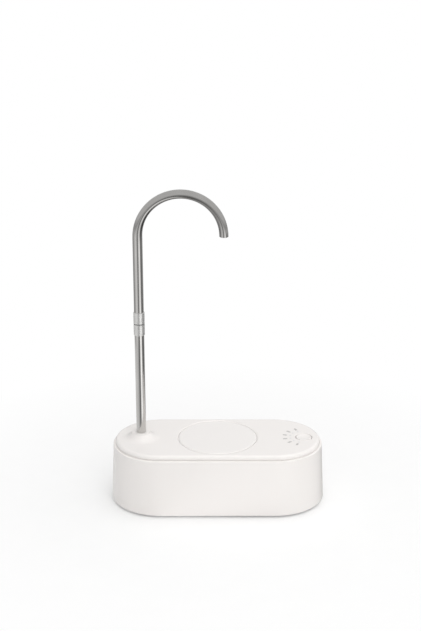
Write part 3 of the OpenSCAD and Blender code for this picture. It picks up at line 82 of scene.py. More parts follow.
class Look:
    """A principled material and shorthand for the procedural nodes that feed it."""

    def __init__(self, name, **sockets):
        self.mat = bpy.data.materials.new(name)
        self.mat.use_nodes = True
        self.tree = self.mat.node_tree
        self.bsdf = next(n for n in self.tree.nodes if n.type == "BSDF_PRINCIPLED")
        self.where = self.node("ShaderNodeTexCoord").outputs["Object"]
        for key, value in sockets.items():
            self.bsdf.inputs[key.replace("_", " ")].default_value = value

    def node(self, kind, **props):
        n = self.tree.nodes.new(kind)
        for key, value in props.items():
            setattr(n, key, value)
        return n

    def link(self, a, b):
        self.tree.links.new(a, b)

    def stretch(self, scale, source=None):
        """The place on the surface, scaled by axis."""
        n = self.node("ShaderNodeMapping")
        n.inputs["Scale"].default_value = scale
        self.link(source or self.where, n.inputs["Vector"])
        return n.outputs["Vector"]

    def noise(self, scale, detail=2.0, rough=0.5, where=None):
        n = self.node("ShaderNodeTexNoise")
        n.inputs["Scale"].default_value = scale
        n.inputs["Detail"].default_value = detail
        n.inputs["Roughness"].default_value = rough
        self.link(where or self.where, n.inputs["Vector"])
        return n.outputs["Fac"]

    def cells(self, scale):
        """Distance from the nearest of many scattered points."""
        n = self.node("ShaderNodeTexVoronoi")
        n.inputs["Scale"].default_value = scale
        self.link(self.where, n.inputs["Vector"])
        return n.outputs["Distance"]

    def span(self, fac, low, high, start=0.0, end=1.0):
        """Low to high while the value runs from start to end."""
        n = self.node("ShaderNodeMapRange")
        for key, value in (("From Min", start), ("From Max", end), ("To Min", low), ("To Max", high)):
            n.inputs[key].default_value = value
        self.link(fac, n.inputs["Value"])
        return n.outputs["Result"]

    def vary(self, fac, low, high):
        """Low to high over the middle of a noise's values, where most of them lie."""
        return self.span(fac, low, high, 0.3, 0.7)

    def ramp(self, fac, *stops):
        n = self.node("ShaderNodeValToRGB")
        e = n.color_ramp.elements
        while len(e) < len(stops):
            e.new(0.5)
        for k, (pos, col) in enumerate(stops):
            e[k].position = pos
            e[k].color = (*col, 1)
        self.link(fac, n.inputs["Fac"])
        return n.outputs["Color"]

    def shade(self, fac, col, low, high, start=0.3, end=0.7):
        """A colour from its darker to its lighter tint."""
        return self.ramp(fac, (start, tint(col, low)), (end, tint(col, high)))

    def bump(self, height, strength, distance, under=None):
        n = self.node("ShaderNodeBump")
        n.inputs["Strength"].default_value = strength
        n.inputs["Distance"].default_value = distance
        self.link(height, n.inputs["Height"])
        if under:
            self.link(under, n.inputs["Normal"])
        return n.outputs["Normal"]

    def math(self, op, *values):
        n = self.node("ShaderNodeMath", operation=op)
        for k, v in enumerate(values):
            if isinstance(v, (int, float)):
                n.inputs[k].default_value = v
            else:
                self.link(v, n.inputs[k])
        return n.outputs["Value"]

    def reach(self, a, b):
        """Distance from an axis, from the two distances across it."""
        return self.math("SQRT", self.math("ADD", self.math("MULTIPLY", a, a), self.math("MULTIPLY", b, b)))

    def choose(self, fac, a, b):
        """Value a where fac is 1, b where it is 0."""
        rest = self.math("SUBTRACT", 1.0, fac)
        return self.math("ADD", self.math("MULTIPLY", fac, a), self.math("MULTIPLY", rest, b))

    def blend(self, fac, a, b, kind="MIX"):
        """Two colours mixed by a value; b may be a plain colour."""
        n = self.node("ShaderNodeMix", data_type="RGBA", blend_type=kind)
        self.link(fac, n.inputs[0])
        self.link(a, n.inputs[6])
        if isinstance(b, tuple):
            n.inputs[7].default_value = (*b, 1)
        else:
            self.link(b, n.inputs[7])
        return n.outputs[2]

    def axes(self):
        n = self.node("ShaderNodeSeparateXYZ")
        self.link(self.where, n.inputs[0])
        return n.outputs["X"], n.outputs["Y"], n.outputs["Z"]

    def join(self, x, y, z):
        n = self.node("ShaderNodeCombineXYZ")
        for k, v in enumerate((x, y, z)):
            self.link(v, n.inputs[k])
        return n.outputs["Vector"]

    def finish(self, color=None, rough=None, normal=None):
        for key, value in (("Base Color", color), ("Roughness", rough), ("Normal", normal)):
            if value:
                self.link(value, self.bsdf.inputs[key])
        return self.mat


def moulded(name, col, rough, grain, depth, spread=0.003, **sockets):
    """Moulded plastic: slight shade drift, uneven gloss, and the tool's fine grain in relief."""
    m = Look(name, **sockets)
    color = m.shade(m.noise(18), col, 1 - spread, 1 + spread, 0.25, 0.75)
    gloss = m.vary(m.noise(40), rough * 0.96, rough * 1.04)
    return m.finish(color, gloss, m.bump(m.noise(grain, 3, 0.55), depth, 0.0002))


def rubber(name, col, grain=1500):
    """Moulded rubber: matt, with a fine grain and a faint bloom."""
    m = Look(name)
    color = m.shade(m.noise(160, 4, 0.6), col, 0.85, 1.35, 0.35, 0.8)
    gloss = m.vary(m.noise(300, 3), 0.6, 0.8)
    return m.finish(color, gloss, m.bump(m.noise(grain, 4, 0.6), 0.25, 0.0003))


def drawn_steel(name, col, rough, bent=False):
    """Polished drawn tube: hair lines along its length, soft smears across it. A bent one has them round the
    arch, and has painted shade, a dark reflection painted on, on the tube's side towards the arch's middle."""
    m = Look(name, Metallic=1.0)
    place = m.where
    if bent:
        x, y, z = m.axes()
        r = ARCH_R * MM
        dx = m.math("SUBTRACT", x, ARCH_X * MM)
        dz = m.math("SUBTRACT", z, ARCH_Z * MM)
        up = m.math("MAXIMUM", dz, 0.0)
        down = m.math("MINIMUM", dz, 0.0)
        turn = m.math("MULTIPLY", m.math("ARCTAN2", up, dx), r)
        away = m.reach(dx, up)
        place = m.join(away, y, m.math("SUBTRACT", turn, down))
    hair = m.noise(4200, 3, 0.6, m.stretch((1, 1, 0.012), place))
    smear = m.noise(120, 4, 0.55, m.stretch((1, 1, 0.25), place))
    color = m.shade(m.noise(60, 3, 0.5, place), col, 0.96, 1.04)
    if bent:
        # Painted shade: over the arch, the tube's side towards the arch's middle is darkened as a painted dark
        # reflection
        painted_shade = m.span(away, 0.3, 1.0, r - 0.0030, r + 0.0002)
        painted_shade_over_arch = m.span(dz, 0.0, 1.0, -0.006, 0.012)
        color = m.blend(painted_shade_over_arch, color, painted_shade, "MULTIPLY")
    gloss = m.math("ADD", m.vary(smear, rough - 0.04, rough + 0.05), m.vary(hair, -0.02, 0.02))
    return m.finish(color, gloss, m.bump(hair, 0.06, 0.00005))


def turned_metal(name, col, rough):
    """Turned metal: fine rings across the upright axis that it was turned on."""
    m = Look(name, Metallic=1.0)
    rings = m.noise(5200, 3, 0.65, m.stretch((0.03, 0.03, 1)))
    color = m.shade(m.noise(180, 3), col, 0.96, 1.04)
    gloss = m.vary(rings, rough - 0.04, rough + 0.04)
    return m.finish(color, gloss, m.bump(rings, 0.012, 0.00004))


def plain_steel(name, col, rough=0.34):
    """Rolled or cold-headed steel: a mottled grain and uneven shine."""
    m = Look(name, Metallic=1.0)
    color = m.shade(m.noise(420, 5, 0.6), col, 0.9, 1.08)
    gloss = m.vary(m.noise(900, 4), rough - 0.1, rough + 0.1)
    return m.finish(color, gloss, m.bump(m.noise(2600, 3), 0.12, 0.00008))


def circuit_board(name, under, top):
    """Solder mask over square-cornered tracks and tinned holes. What stands out past the board's two faces is
    dark parts, tall ones with a bright end."""
    m = Look(name, IOR=1.5)
    x, y, z = m.axes()
    pitch, edge = 0.00055, (0.00025, 0.0003)
    across, along = (m.span(m.math("PINGPONG", v, pitch), 0, 1, *edge) for v in (x, y))
    track = m.choose(m.span(m.noise(130, 0), 0, 1, 0.49, 0.51), across, along)
    color = m.ramp(track, (0.0, (0.010, 0.085, 0.034)), (1.0, (0.018, 0.135, 0.054)))
    pads = m.span(m.cells(300), 1, 0, 0.13, 0.17)
    color = m.blend(pads, color, (0.55, 0.54, 0.50))
    skin, tall = 0.00005, 0.0048
    parts = m.math("ADD", m.math("GREATER_THAN", z, top + skin), m.math("LESS_THAN", z, under - skin))
    cases = m.ramp(m.noise(1500, 3), (0.3, (0.022, 0.022, 0.024)), (0.7, (0.036, 0.036, 0.039)))
    color = m.blend(parts, color, cases)
    color = m.blend(m.math("GREATER_THAN", z, top + tall), color, (0.50, 0.50, 0.49))
    gloss = m.math("ADD", m.vary(m.noise(240), 0.28, 0.38), m.math("MULTIPLY", parts, 0.14))
    weave = m.bump(m.noise(3000, 1), 0.1, 0.00005)
    return m.finish(color, gloss, m.bump(m.math("ADD", track, pads), 0.3, 0.00004, weave))


def wound_shaft(name):
    """Motor shaft by distance from its axis: ground steel, copper turns, then the core's stacked sheets."""
    m = Look(name, Metallic=1.0)
    x, y, z = m.axes()
    r = m.reach(m.math("SUBTRACT", y, PUMP_PLACE[1] * MM), m.math("SUBTRACT", z, PUMP_PLACE[2] * MM))
    steel, copper, sheet = (0.56, 0.56, 0.55), (0.62, 0.26, 0.10), (0.34, 0.34, 0.35)
    full_r, core_r, half_sheet = 0.01, 0.00695, 0.00025
    reach = m.span(r, 0, 1, 0, full_r)
    color = m.ramp(reach, (0.11, steel), (0.12, copper), (0.69, copper), (0.70, sheet))
    turns = m.noise(3600, 2, 0.5, m.stretch((0.05, 1, 1)))
    sheets = m.span(m.math("PINGPONG", x, half_sheet), 0, 1, 0.00004, 0.00009)
    height = m.choose(m.math("GREATER_THAN", r, core_r), sheets, turns)
    return m.finish(color, m.vary(turns, 0.24, 0.42), m.bump(height, 0.3, 0.00008))


def jacket(name, col):
    """Insulation on a lead: glossier than rubber, with faint die lines."""
    m = Look(name, IOR=1.5)
    color = m.shade(m.noise(260, 3), col, 0.9, 1.1)
    gloss = m.vary(m.noise(420, 3), 0.38, 0.52)
    return m.finish(color, gloss, m.bump(m.noise(2600, 3), 0.15, 0.0002))


def sleeve(name, col):
    """Shrink sleeve on a battery cell: long shallow puckers and a soft shine."""
    m = Look(name, IOR=1.5)
    pucker = m.noise(260, 3, 0.5, m.stretch((0.08, 1, 1)))
    color = m.shade(pucker, col, 0.88, 1.15)
    gloss = m.vary(m.noise(140, 3), 0.26, 0.38)
    return m.finish(color, gloss, m.bump(pucker, 0.25, 0.0003))


def clear_window(name):
    """Frosted light window: pale, cloudy inside, fine frost on its face."""
    m = Look(name, IOR=1.58, Transmission_Weight=0.25)
    color = m.ramp(m.noise(700, 4, 0.6), (0.3, (0.60, 0.62, 0.64)), (0.7, (0.72, 0.74, 0.76)))
    gloss = m.vary(m.noise(2200, 3), 0.25, 0.4)
    return m.finish(color, gloss, m.bump(m.noise(4200), 0.15, 0.00005))


def silicone(name, col):
    """Cloudy silicone hose: soft, with faint lines from its die."""
    m = Look(name, IOR=1.42, Subsurface_Weight=0.15, Subsurface_Scale=0.002)
    color = m.shade(m.noise(220, 3), col, 0.96, 1.03)
    gloss = m.vary(m.noise(500, 3), 0.34, 0.46)
    return m.finish(color, gloss, m.bump(m.noise(1600), 0.12, 0.0001))


def ink(name, col):
    """Printed ink: a little uneven where the screen's threads held it."""
    m = Look(name, IOR=1.45)
    color = m.shade(m.noise(5200), col, 0.9, 1.12, 0.35, 0.65)
    gloss = m.vary(m.noise(2600), 0.4, 0.52)
    return m.finish(color, gloss, m.bump(m.noise(7000, 1), 0.1, 0.00002))


# One look for each material slot of the record, then those of nodes that need their own. The numbers after a
# moulded colour are roughness, the grain's scale and depth, and the shade's spread.
WHITE = (0.905, 0.874, 0.850)
STEEL = (0.60, 0.59, 0.575)
looks = {
    "white_gloss": moulded("white_gloss", WHITE, 0.24, 2600, 0.004, IOR=1.52),
    "cup_rest_white": moulded("cup_rest_white", (0.90, 0.872, 0.850), 0.3, 2600, 0.008, IOR=1.5),
    "bottom_grey": moulded("bottom_grey", (0.62, 0.62, 0.61), 0.55, 1400, 0.25, IOR=1.5),
    "inner_plastic": moulded("inner_plastic", (0.78, 0.78, 0.76), 0.42, 1700, 0.08, IOR=1.5),
    "dark_plastic": moulded("dark_plastic", (0.05, 0.05, 0.054), 0.45, 1500, 0.14, 0.12, IOR=1.5),
    "ivory_plastic": moulded("ivory_plastic", (0.78, 0.74, 0.62), 0.4, 1800, 0.06, IOR=1.5),
    "led_body": moulded("led_body", (0.82, 0.78, 0.52), 0.3, 3000, 0.05, IOR=1.5),
    "light_window": clear_window("light_window"),
    "board_green": circuit_board("board_green", under=0.0494, top=0.051),
    "steel_tube": drawn_steel("steel_tube", STEEL, 0.13),
    "ferrule_metal": turned_metal("ferrule_metal", (0.88, 0.875, 0.86), 0.42),
    "screw_steel": plain_steel("screw_steel", (0.55, 0.55, 0.55)),
    "motor_steel": plain_steel("motor_steel", (0.52, 0.52, 0.51), 0.38),
    "tab_nickel": plain_steel("tab_nickel", (0.60, 0.58, 0.53), 0.3),
    "cell_wrap": sleeve("cell_wrap", (0.04, 0.14, 0.42)),
    "rubber_dark": rubber("rubber_dark", (0.035, 0.035, 0.035)),
    "foot_rubber": rubber("foot_rubber", (0.13, 0.13, 0.13), 900),
    "valve_rubber": rubber("valve_rubber", (0.5, 0.09, 0.05)),
    "hose_silicone": silicone("hose_silicone", (0.78, 0.80, 0.80)),
    "wire_jacket": rubber("wire_jacket", (0.42, 0.045, 0.035), 2600),
}
own_looks = {
    "gooseneck_tube": drawn_steel("steel_arch_painted_shade", STEEL, 0.13, bent=True),
    "coupling_seal": rubber("seal_grey", (0.2, 0.2, 0.2)),
    "charge_board": circuit_board("charge_board_green", under=0.0131, top=0.0147),
    "motor_shaft": wound_shaft("wound_shaft"),
}

for row in frame["record"]["subparts"]:
    node = row["node"]
    mats = nodes[node].data.materials
    mats.clear()
    mats.append(own_looks.get(node) or looks[row["material_slot"]])


def circle(sides):
    """Angles round one ring."""
    return [math.tau * k / sides for k in range(sides)]


def wall(bm, low, high):
    """Smooth faces between two rings."""
    faces = [bm.faces.new((low[k - 1], low[k], high[k], high[k - 1])) for k in range(len(low))]
    for face in faces:
        face.smooth = True
    return faces


def outward(bm):
    bmesh.ops.recalc_face_normals(bm, faces=bm.faces)


def piece(name, bm, mats, body):
    """The finished piece on its body; its bmesh is used up."""
    mesh = bpy.data.meshes.new(name)
    bm.to_mesh(mesh)
    bm.free()
    for mat in mats:
        mesh.materials.append(mat)
    obj = bpy.data.objects.new(name, mesh)
    scene.collection.objects.link(obj)
    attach(obj, body)
    return obj


# Leads on the CAD's routes, in millimetres: round jackets with bare ends soldered at each terminal
def motor_route(y):
    return ((56.9, y, 26), (59.9, y, 26), (63.9, y, 34), (67.1, y, 41.4), (67.1, y, 49.4))


def board_route(s):
    return ((34 + s, 28, 14.7), (34 + s, 28, 20.7), (50, 27, 28.7 - s), (59, 22, 35.7 - s),
            (72.6, 11 + s, 43.4), (72.6, 11 + s, 49.4))


PLUS = ((32.8, -25.5, 34.6), (38.8, -25.5, 34.6), (46.8, -22, 24), (51.3, -12, 11), (51.8, 6, 8.5),
        (51.8, 24, 11), (46, 33, 21.7), (43, 33, 18.7), (43, 33, 14.7))
MINUS = ((32.8, -25.5, 15.7), (38.8, -25.5, 15.7), (45.8, -20, 11), (48.8, -10, 8), (49.3, 6, 7.5),
         (49.3, 22, 9), (45.5, 30, 20.2), (42, 30.5, 18.7), (42, 30.5, 14.7))

# Sizes of a lead in metres, and its end as (distance along it, radius): solder cone, bare wire, then the
# jacket's edge
JACKET_R, BARE_R = 0.0008, 0.0004
JACKET_FROM, JACKET_LEAST_R = 0.0009, 0.0007
LEAD_END = ((0.0, JACKET_R), (0.0003, BARE_R), (0.001, BARE_R), (0.001, 0.00072), (0.00108, JACKET_R))
LEAD_END_LENGTH, LEAD_STEP = 0.0012, 0.0008


def along_route(points, steps=24):
    """Places on the smooth curve through the route's points."""
    p = [Vector(v) * MM for v in points]
    places = []
    for i in range(len(p) - 1):
        a, b, c, d = p[max(i - 1, 0)], p[i], p[i + 1], p[min(i + 2, len(p) - 1)]
        for t in (k / steps for k in range(steps)):
            places.append(0.5 * (2 * b + (c - a) * t + (2 * a - 5 * b + 4 * c - d) * t ** 2
                                 + (3 * b - a - 3 * c + d) * t ** 3))
    return places + [p[-1]]


def lead(bm, points, skin, sides=14):
    """One lead with its two ends alike; skin is the jacket's material index."""
    places = along_route(points)
    reach = [0.0]
    for u, v in zip(places, places[1:]):
        reach.append(reach[-1] + (v - u).length)
    whole = reach[-1]
    middle = whole - 2 * LEAD_END_LENGTH
    count = max(2, int(middle / LEAD_STEP))
    stations = list(LEAD_END)
    stations += [(LEAD_END_LENGTH + middle * k / count, JACKET_R) for k in range(count + 1)]
    stations += [(whole - d, r) for d, r in reversed(LEAD_END)]
    across = last = last_r = None
    for d, r in stations:
        i = min(max(sum(1 for v in reach if v <= d) - 1, 0), len(places) - 2)
        tangent = (places[i + 1] - places[i]).normalized()
        centre = places[i] + tangent * (d - reach[i])
        across = across or tangent.orthogonal()
        across = (across - tangent * across.dot(tangent)).normalized()
        up = tangent.cross(across)
        ring = [bm.verts.new(centre + r * (math.cos(a) * across + math.sin(a) * up)) for a in circle(sides)]
        if last:
            covered = min(r, last_r) > JACKET_LEAST_R and JACKET_FROM < d < whole - JACKET_FROM
            for face in wall(bm, last, ring):
                face.material_index = skin if covered else 0
        else:
            bm.faces.new(list(reversed(ring)))
        last, last_r = ring, r
    bm.faces.new(last)


RED, BLACK, GREY, PALE = (jacket(name, col) for name, col in (
    ("jacket_red", (0.46, 0.035, 0.03)), ("jacket_black", (0.03, 0.03, 0.032)),
    ("jacket_grey", (0.30, 0.30, 0.30)), ("jacket_pale", (0.66, 0.66, 0.64))))
for node, routes, skins in (
        ("motor_leads", (motor_route(9.8), motor_route(-2.2)), (RED, BLACK)),
        ("battery_leads", (PLUS, MINUS), (RED, BLACK)),
        ("board_leads", (board_route(1.2), board_route(-1.2)), (PALE, GREY))):
    bm = bmesh.new()
    for skin, route in enumerate(routes, 1):
        lead(bm, route, skin)
    obj = piece(node + "_round", bm, (looks["tab_nickel"], *skins), "base")
    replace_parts(obj, node)

# Pump diaphragm, split where it flexes: the clamped sheet stays, the pistons nod with the wobble plate.
# Sections are (radius, height) in millimetres on the pump's axis or on a cup's.
PLATE_PIVOT, PLATE_TILT, CUP_RING = 17.5, 7, 7.2
SHEET_RIM = ((11.1, 15.8), (11.25, 15.6), (12.4, 15.6), (12.6, 15.8), (12.6, 16.65), (12.45, 16.8))
SHEET_EYE = ((2.7, 15.8), (2.6, 15.9), (2.6, 16.7), (2.7, 16.8))
SHEET_CUP = ((3.72, 15.8), (3.58, 15.9), (3.55, 16.2), (3.55, 17.0), (3.58, 17.15), (3.65, 17.2),
             (3.72, 17.12), (3.74, 16.95), (3.74, 16.8))
PISTON = ((0.5, -6.5), (1.5, -6.42), (2.0, -6.2), (2.2, -5.85), (2.2, -5.45), (2.05, -5.25), (1.3, -5.22),
          (1.2, -5.1), (1.2, -3.3), (1.3, -3.18), (2.3, -3.16), (2.5, -3.0), (2.55, -2.5), (2.75, -1.9),
          (2.95, -1.4), (3.0, -0.9), (2.9, -0.62), (2.6, -0.5), (1.6, -0.55), (0.5, -0.7))
PUMP = Matrix.Translation(Vector(PUMP_PLACE) * MM) @ Matrix.Rotation(-math.pi / 2, 4, "Y")
PLATE = (PUMP @ Matrix.Translation((0, 0, PLATE_PIVOT * MM))
         @ Matrix.Rotation(math.radians(PLATE_TILT), 4, "Y"))
CUPS = [(CUP_RING * math.cos(a), CUP_RING * math.sin(a)) for a in circle(3)]


def lathe(bm, place, section, centre=(0, 0), sides=48):
    """Turned wall; gives back its first and last ring."""
    cx, cy = centre
    rings = [[bm.verts.new(place @ (Vector((cx + r * math.cos(a), cy + r * math.sin(a), z)) * MM))
              for a in circle(sides)] for r, z in section]
    for low, high in zip(rings, rings[1:]):
        wall(bm, low, high)
    return rings[0], rings[-1]


def fill(bm, loops):
    """One flat face with holes between closed rings."""
    edges = [bm.edges.get((ring[k - 1], ring[k])) for ring in loops for k in range(len(ring))]
    bmesh.ops.triangle_fill(bm, use_beauty=True, edges=edges)


bm = bmesh.new()
walls = [lathe(bm, PUMP, SHEET_RIM, sides=96), lathe(bm, PUMP, SHEET_EYE)]
walls += [lathe(bm, PUMP, SHEET_CUP, cup) for cup in CUPS]
for loops in zip(*walls):
    fill(bm, loops)
outward(bm)
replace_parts(piece("diaphragm_sheet", bm, (looks["rubber_dark"],), "base"), "pump_diaphragm")

bm = bmesh.new()
for cup in CUPS:
    for end in lathe(bm, PLATE, PISTON, cup):
        bm.faces.new(end)
outward(bm)
piece("diaphragm_pistons", bm, (looks["rubber_dark"],), "wobbler")

# Gooseneck with the bend that a tube takes: a little flat in the arch's plane, wider across it. Millimetres,
# degrees round the arch from its foot, and shares of the tube's radius.
FLAT, WIDE = 0.10, 0.05
BEND_FROM, BEND_FULL = -8, 40
TIP_FROM, TIP_EASE = 150, 0.2
ARCH_END, ARCH_STEPS = 180, 96
LEG_STEP, LEG_STEPS = 0.8, 8
LIP_LENGTH, LIP_BEVEL = 0.4, 0.2


def ease(value, start, end):
    t = min(max((value - start) / (end - start), 0.0), 1.0)
    return t * t * (3 - 2 * t)


def neck_ring(bm, turn, drop, radius, sides=64):
    """One ring of the tube, turn degrees round the arch and drop millimetres straight below that."""
    bent = ease(turn - math.degrees(drop / ARCH_R), BEND_FROM, BEND_FULL)
    bent *= 1 - TIP_EASE * ease(turn, TIP_FROM, ARCH_END)
    a = math.radians(180 - turn)
    out = Vector((math.cos(a), 0, math.sin(a)))
    centre = Vector((ARCH_X, 0, ARCH_Z)) + ARCH_R * out - Vector((0, 0, drop))
    flat, wide = radius - FLAT * bent * TUBE_R, radius + WIDE * bent * TUBE_R
    return [bm.verts.new((centre + flat * math.cos(b) * out + Vector((0, wide * math.sin(b), 0))) * MM)
            for b in circle(sides)]


bm = bmesh.new()
foot = ARCH_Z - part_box("gooseneck_tube")[0][2] / MM
path = [(0, foot)] + [(0, LEG_STEP * k) for k in range(LEG_STEPS, 0, -1)]
path += [(ARCH_END * k / ARCH_STEPS, 0) for k in range(ARCH_STEPS + 1)]
lip = [(ARCH_END, LIP_LENGTH - LIP_BEVEL, TUBE_R), (ARCH_END, LIP_LENGTH, TUBE_R - LIP_BEVEL),
       (ARCH_END, LIP_LENGTH, BORE_R)]
stations = [(turn, drop, TUBE_R) for turn, drop in path] + lip
stations += [(turn, drop, BORE_R) for turn, drop in reversed(path)]
rings = [neck_ring(bm, *station) for station in stations]
for k in range(len(rings)):
    wall(bm, rings[k - 1], rings[k])
for ring in (rings[0], rings[-1], *rings[len(path):len(path) + len(lip)]):
    for k in range(len(ring)):
        bm.edges.get((ring[k - 1], ring[k])).smooth = False
outward(bm)
obj = piece("gooseneck_bent", bm, (own_looks["gooseneck_tube"],), "gooseneck")
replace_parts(obj, "gooseneck_tube")

# White seal that closes the seam between cover and shell: its section in millimetres, out from the plate's
# edge and up from the shell's rim, carried round the plate's outline
SEAL = ((-0.88, -0.29), (0.0, -0.50), (0.27, -0.50), (0.27, -0.06), (0.2, -0.02), (0.05, 0.02),
        (-0.15, 0.08), (-0.35, 0.17), (-0.48, 0.28), (-0.56, 0.40), (-0.88, 0.19))
END_STEPS = 64
bm = bmesh.new()
rings = []
for side in (1, -1):
    for k in range(END_STEPS + 1):
        turn = math.radians(-90 * side + 180 * k / END_STEPS)
        rings.append([bm.verts.new(Vector((side * SPINE + (PLATE_R + out) * math.cos(turn),
                                           (PLATE_R + out) * math.sin(turn), RIM_Z + up)) * MM)
                      for out, up in SEAL])
for k in range(len(rings)):
    wall(bm, rings[k - 1], rings[k])
outward(bm)
# The seal's white is a little darker than the cover's: painted shade in the seam between cover and shell
seal_painted_shade = moulded("seal_painted_shade", tint(WHITE, 0.92), 0.42, 1800, 0.05, IOR=1.45)
piece("seam_seal", bm, (seal_painted_shade,), "base")

# Printed amounts round the left side of the button, each read towards the button
BUTTON = Vector((85.6, 0, PLATE_Z)) * MM
AMOUNTS = (600, 500, 400, 300, 200, 100)
MARK_STEP, MARK_REACH, MARK_SIZE = 27, 0.0192, 0.0030
bm = bmesh.new()
for k, amount in enumerate(AMOUNTS):
    turn = math.radians(180 + MARK_STEP * (k - (len(AMOUNTS) - 1) / 2))
    curve = bpy.data.curves.new("digits", "FONT")
    curve.body = str(amount)
    curve.size = MARK_SIZE
    curve.align_x = "CENTER"
    curve.align_y = "CENTER"
    curve.extrude = 0.000015
    curve.offset = 0.0001
    curve.resolution_u = 4
    text = bpy.data.objects.new("digits", curve)
    scene.collection.objects.link(text)
    bpy.context.view_layer.update()
    mesh = bpy.data.meshes.new_from_object(text.evaluated_get(bpy.context.evaluated_depsgraph_get()))
    spot = BUTTON + Vector((math.cos(turn), math.sin(turn), 0)) * MARK_REACH
    mesh.transform(Matrix.Translation(spot) @ Matrix.Rotation(turn - math.pi, 4, "Z"))
    bm.from_mesh(mesh)
    bpy.data.objects.remove(text)
    bpy.data.curves.remove(curve)
    bpy.data.meshes.remove(mesh)
bmesh.ops.remove_doubles(bm, verts=bm.verts, dist=1e-7)
piece("button_numbers", bm, (ink("mark_ink", (0.33, 0.32, 0.31)),), "base")

# Studio floor: pale paper that fades to white. What mirrors show of it is brighter or darker by direction from
# the tube, so that the tube has stripes: one set of bands near it, one further out, then plain grey.
FLOOR_R, FLOOR_Z, FLOOR_SIDES = 4.0, -0.0001, 96
# Brightness by compass direction: 0 and 1 in front, 0.25 left, 0.5 behind, 0.75 right
NEAR = ((0.0, 0.2), (0.03, 0.2), (0.075, 0.54), (0.167, 0.80), (0.27, 0.84), (0.356, 0.88), (0.42, 0.8),
        (0.5, 0.8), (0.58, 0.6), (0.644, 0.40), (0.70, 0.17), (0.775, 0.15), (0.825, 0.45), (0.865, 1.5),
        (0.93, 1.5), (0.962, 0.5), (0.985, 0.2))
FAR = ((0.0, 0.24), (0.03, 0.40), (0.07, 0.84), (0.15, 0.92), (0.22, 0.54), (0.30, 0.36), (0.42, 0.45),
       (0.5, 0.7), (0.58, 0.5), (0.644, 0.40), (0.70, 0.26), (0.79, 0.18), (0.83, 0.45), (0.862, 1.25),
       (0.925, 1.15), (0.955, 0.5), (0.985, 0.22))
PLAIN, HORIZON, DOME = (0.5, 0.5, 0.5), (0.35, 0.35, 0.35), (0.6, 0.6, 0.6)
# Distances from the middle over which the floor fades and one mirrored brightness gives way to the next
FADE, TO_FAR, TO_PLAIN, TO_HORIZON = (0.1, 0.36), (0.48, 0.56), (0.9, 1.7), (1.7, 3.9)

bm = bmesh.new()
last = None
for share in (0.02, 0.1, 0.3, 1.0):
    loop = [bm.verts.new((FLOOR_R * share * math.cos(a), FLOOR_R * share * math.sin(a), FLOOR_Z))
            for a in circle(FLOOR_SIDES)]
    if last:
        wall(bm, loop, last)
    else:
        bm.faces.new(loop)
    last = loop
mesh = bpy.data.meshes.new("floor")
bm.to_mesh(mesh)
bm.free()
floor = bpy.data.objects.new("floor", mesh)
scene.collection.objects.link(floor)
paper = Look("floor_paper", Roughness=0.9)
mesh.materials.append(paper.mat)
paper.finish(paper.ramp(paper.noise(40, 3), (0.3, (0.945, 0.945, 0.94)), (0.7, (0.96, 0.96, 0.955))),
             None, paper.bump(paper.noise(900), 0.05, 0.0002))


def compass(levels):
    """Grey of the bands by direction from the tube."""
    x, y = paper.axes()[:2]
    angle = paper.math("ARCTAN2", paper.math("SUBTRACT", x, (ARCH_X - ARCH_R) * MM), y)
    turn = paper.span(angle, 0.0, 1.0, -math.pi, math.pi)
    return paper.ramp(turn, *((pos, (level, level, level)) for pos, level in levels))


def either(fac, a, b):
    n = paper.node("ShaderNodeMixShader")
    for k, socket in enumerate((fac, a, b)):
        paper.link(socket, n.inputs[k])
    return n.outputs[0]


away = paper.node("ShaderNodeVectorMath", operation="LENGTH")
paper.link(paper.where, away.inputs[0])
away = away.outputs["Value"]
mirrored = paper.blend(paper.span(away, 0.0, 1.0, *TO_FAR), compass(NEAR), compass(FAR))
mirrored = paper.blend(paper.span(away, 0.0, 1.0, *TO_PLAIN), mirrored, PLAIN)
mirrored = paper.blend(paper.span(away, 0.0, 1.0, *TO_HORIZON), mirrored, HORIZON)
cards = paper.node("ShaderNodeEmission")
paper.link(mirrored, cards.inputs["Color"])
glow = paper.node("ShaderNodeEmission")
rays = paper.node("ShaderNodeLightPath").outputs
seen = paper.math("MAXIMUM", rays["Is Camera Ray"], rays["Is Transmission Ray"])
fade = paper.math("MULTIPLY", paper.span(away, 0.25, 1.0, *FADE), seen)
below = paper.node("ShaderNodeNewGeometry").outputs["Backfacing"]
surface = either(fade, paper.bsdf.outputs[0], glow.outputs[0])
surface = either(rays["Is Glossy Ray"], surface, cards.outputs[0])
surface = either(below, surface, paper.node("ShaderNodeBsdfTransparent").outputs[0])
output = next(n for n in paper.tree.nodes if n.type == "OUTPUT_MATERIAL")
paper.link(surface, output.inputs["Surface"])

# Surround: white behind the object, soft light that is strongest from the front right above, and a plain grey
# dome for mirrors
LIGHT_FROM = (0.47, -0.42, 0.78)
world = bpy.data.worlds.new("studio")
scene.world = world
world.use_nodes = True
sky_tree = world.node_tree
sky_tree.nodes.clear()


def sky(kind, links=None, values=None, **props):
    """Outputs of a new node in the surround, with its inputs linked or set."""
    n = sky_tree.nodes.new(kind)
    for key, value in props.items():
        setattr(n, key, value)
    for key, socket in (links or {}).items():
        sky_tree.links.new(socket, n.inputs[key])
    for key, value in (values or {}).items():
        n.inputs[key].default_value = value
    return n.outputs


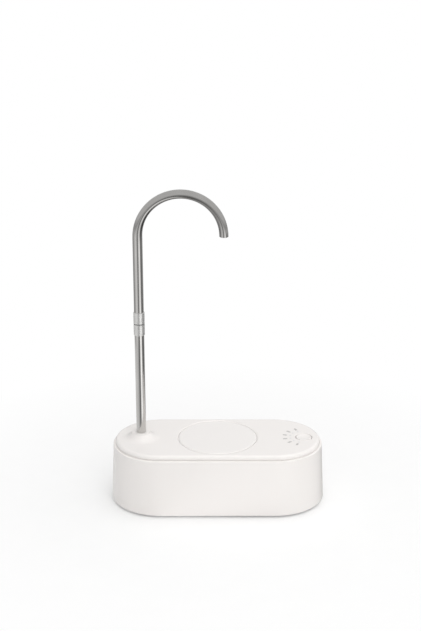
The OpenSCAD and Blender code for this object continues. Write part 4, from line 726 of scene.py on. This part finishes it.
rays = sky("ShaderNodeLightPath")
toward = sky("ShaderNodeTexCoord")["Generated"]
ahead = sky("ShaderNodeVectorMath", {0: toward}, {1: LIGHT_FROM}, operation="DOT_PRODUCT")["Value"]
level = sky("ShaderNodeMapRange", {"Value": ahead},
            {"From Min": -0.6, "From Max": 0.9, "To Min": 0.16, "To Max": 0.82})["Result"]
height = sky("ShaderNodeSeparateXYZ", {0: toward})["Z"]
lift = sky("ShaderNodeMapRange", {"Value": height}, {"From Min": -0.08, "From Max": 0.15})["Result"]
dome = sky("ShaderNodeMix", {0: lift}, {6: (*HORIZON, 1), 7: (*DOME, 1)}, data_type="RGBA")[2]
white = sky("ShaderNodeBackground", None, {"Color": (1, 1, 1, 1)})[0]
soft = sky("ShaderNodeBackground", {"Strength": level}, {"Color": (0.985, 0.99, 1, 1)})[0]
plain = sky("ShaderNodeBackground", {"Color": dome})[0]
seen = sky("ShaderNodeMath", {0: rays["Is Camera Ray"], 1: rays["Is Transmission Ray"]},
           operation="MAXIMUM")[0]
light = sky("ShaderNodeMixShader", {0: rays["Is Glossy Ray"], 1: soft, 2: plain})[0]
light = sky("ShaderNodeMixShader", {0: seen, 1: light, 2: white})[0]
sky("ShaderNodeOutputWorld", {"Surface": light})

# Lamps: place, aim, size, watts and colour; mirrors don't show them
for name, place, aim, size, watts, color in (
        ("key", (0.3, -1.3, 1.7), (0, 0, 0.08), (1.2, 1.2), 9.6, (1, 0.985, 0.965)),
        ("side", (1.4, -0.6, 0.3), (0, 0, 0.03), (0.8, 0.4), 0.9, (1, 1, 1)),
        ("overhead", (0.1, 0.1, 1.9), (0, 0, 0.05), (1.2, 1.2), 8.6, (1, 1, 1))):
    lamp = bpy.data.lights.new(name, "AREA")
    lamp.shape = "RECTANGLE"
    lamp.size, lamp.size_y = size
    lamp.energy = watts
    lamp.color = color
    obj = bpy.data.objects.new(name, lamp)
    obj.location = place
    obj.rotation_euler = (Vector(aim) - Vector(place)).to_track_quat("-Z", "Y").to_euler()
    obj.visible_glossy = False
    scene.collection.objects.link(obj)
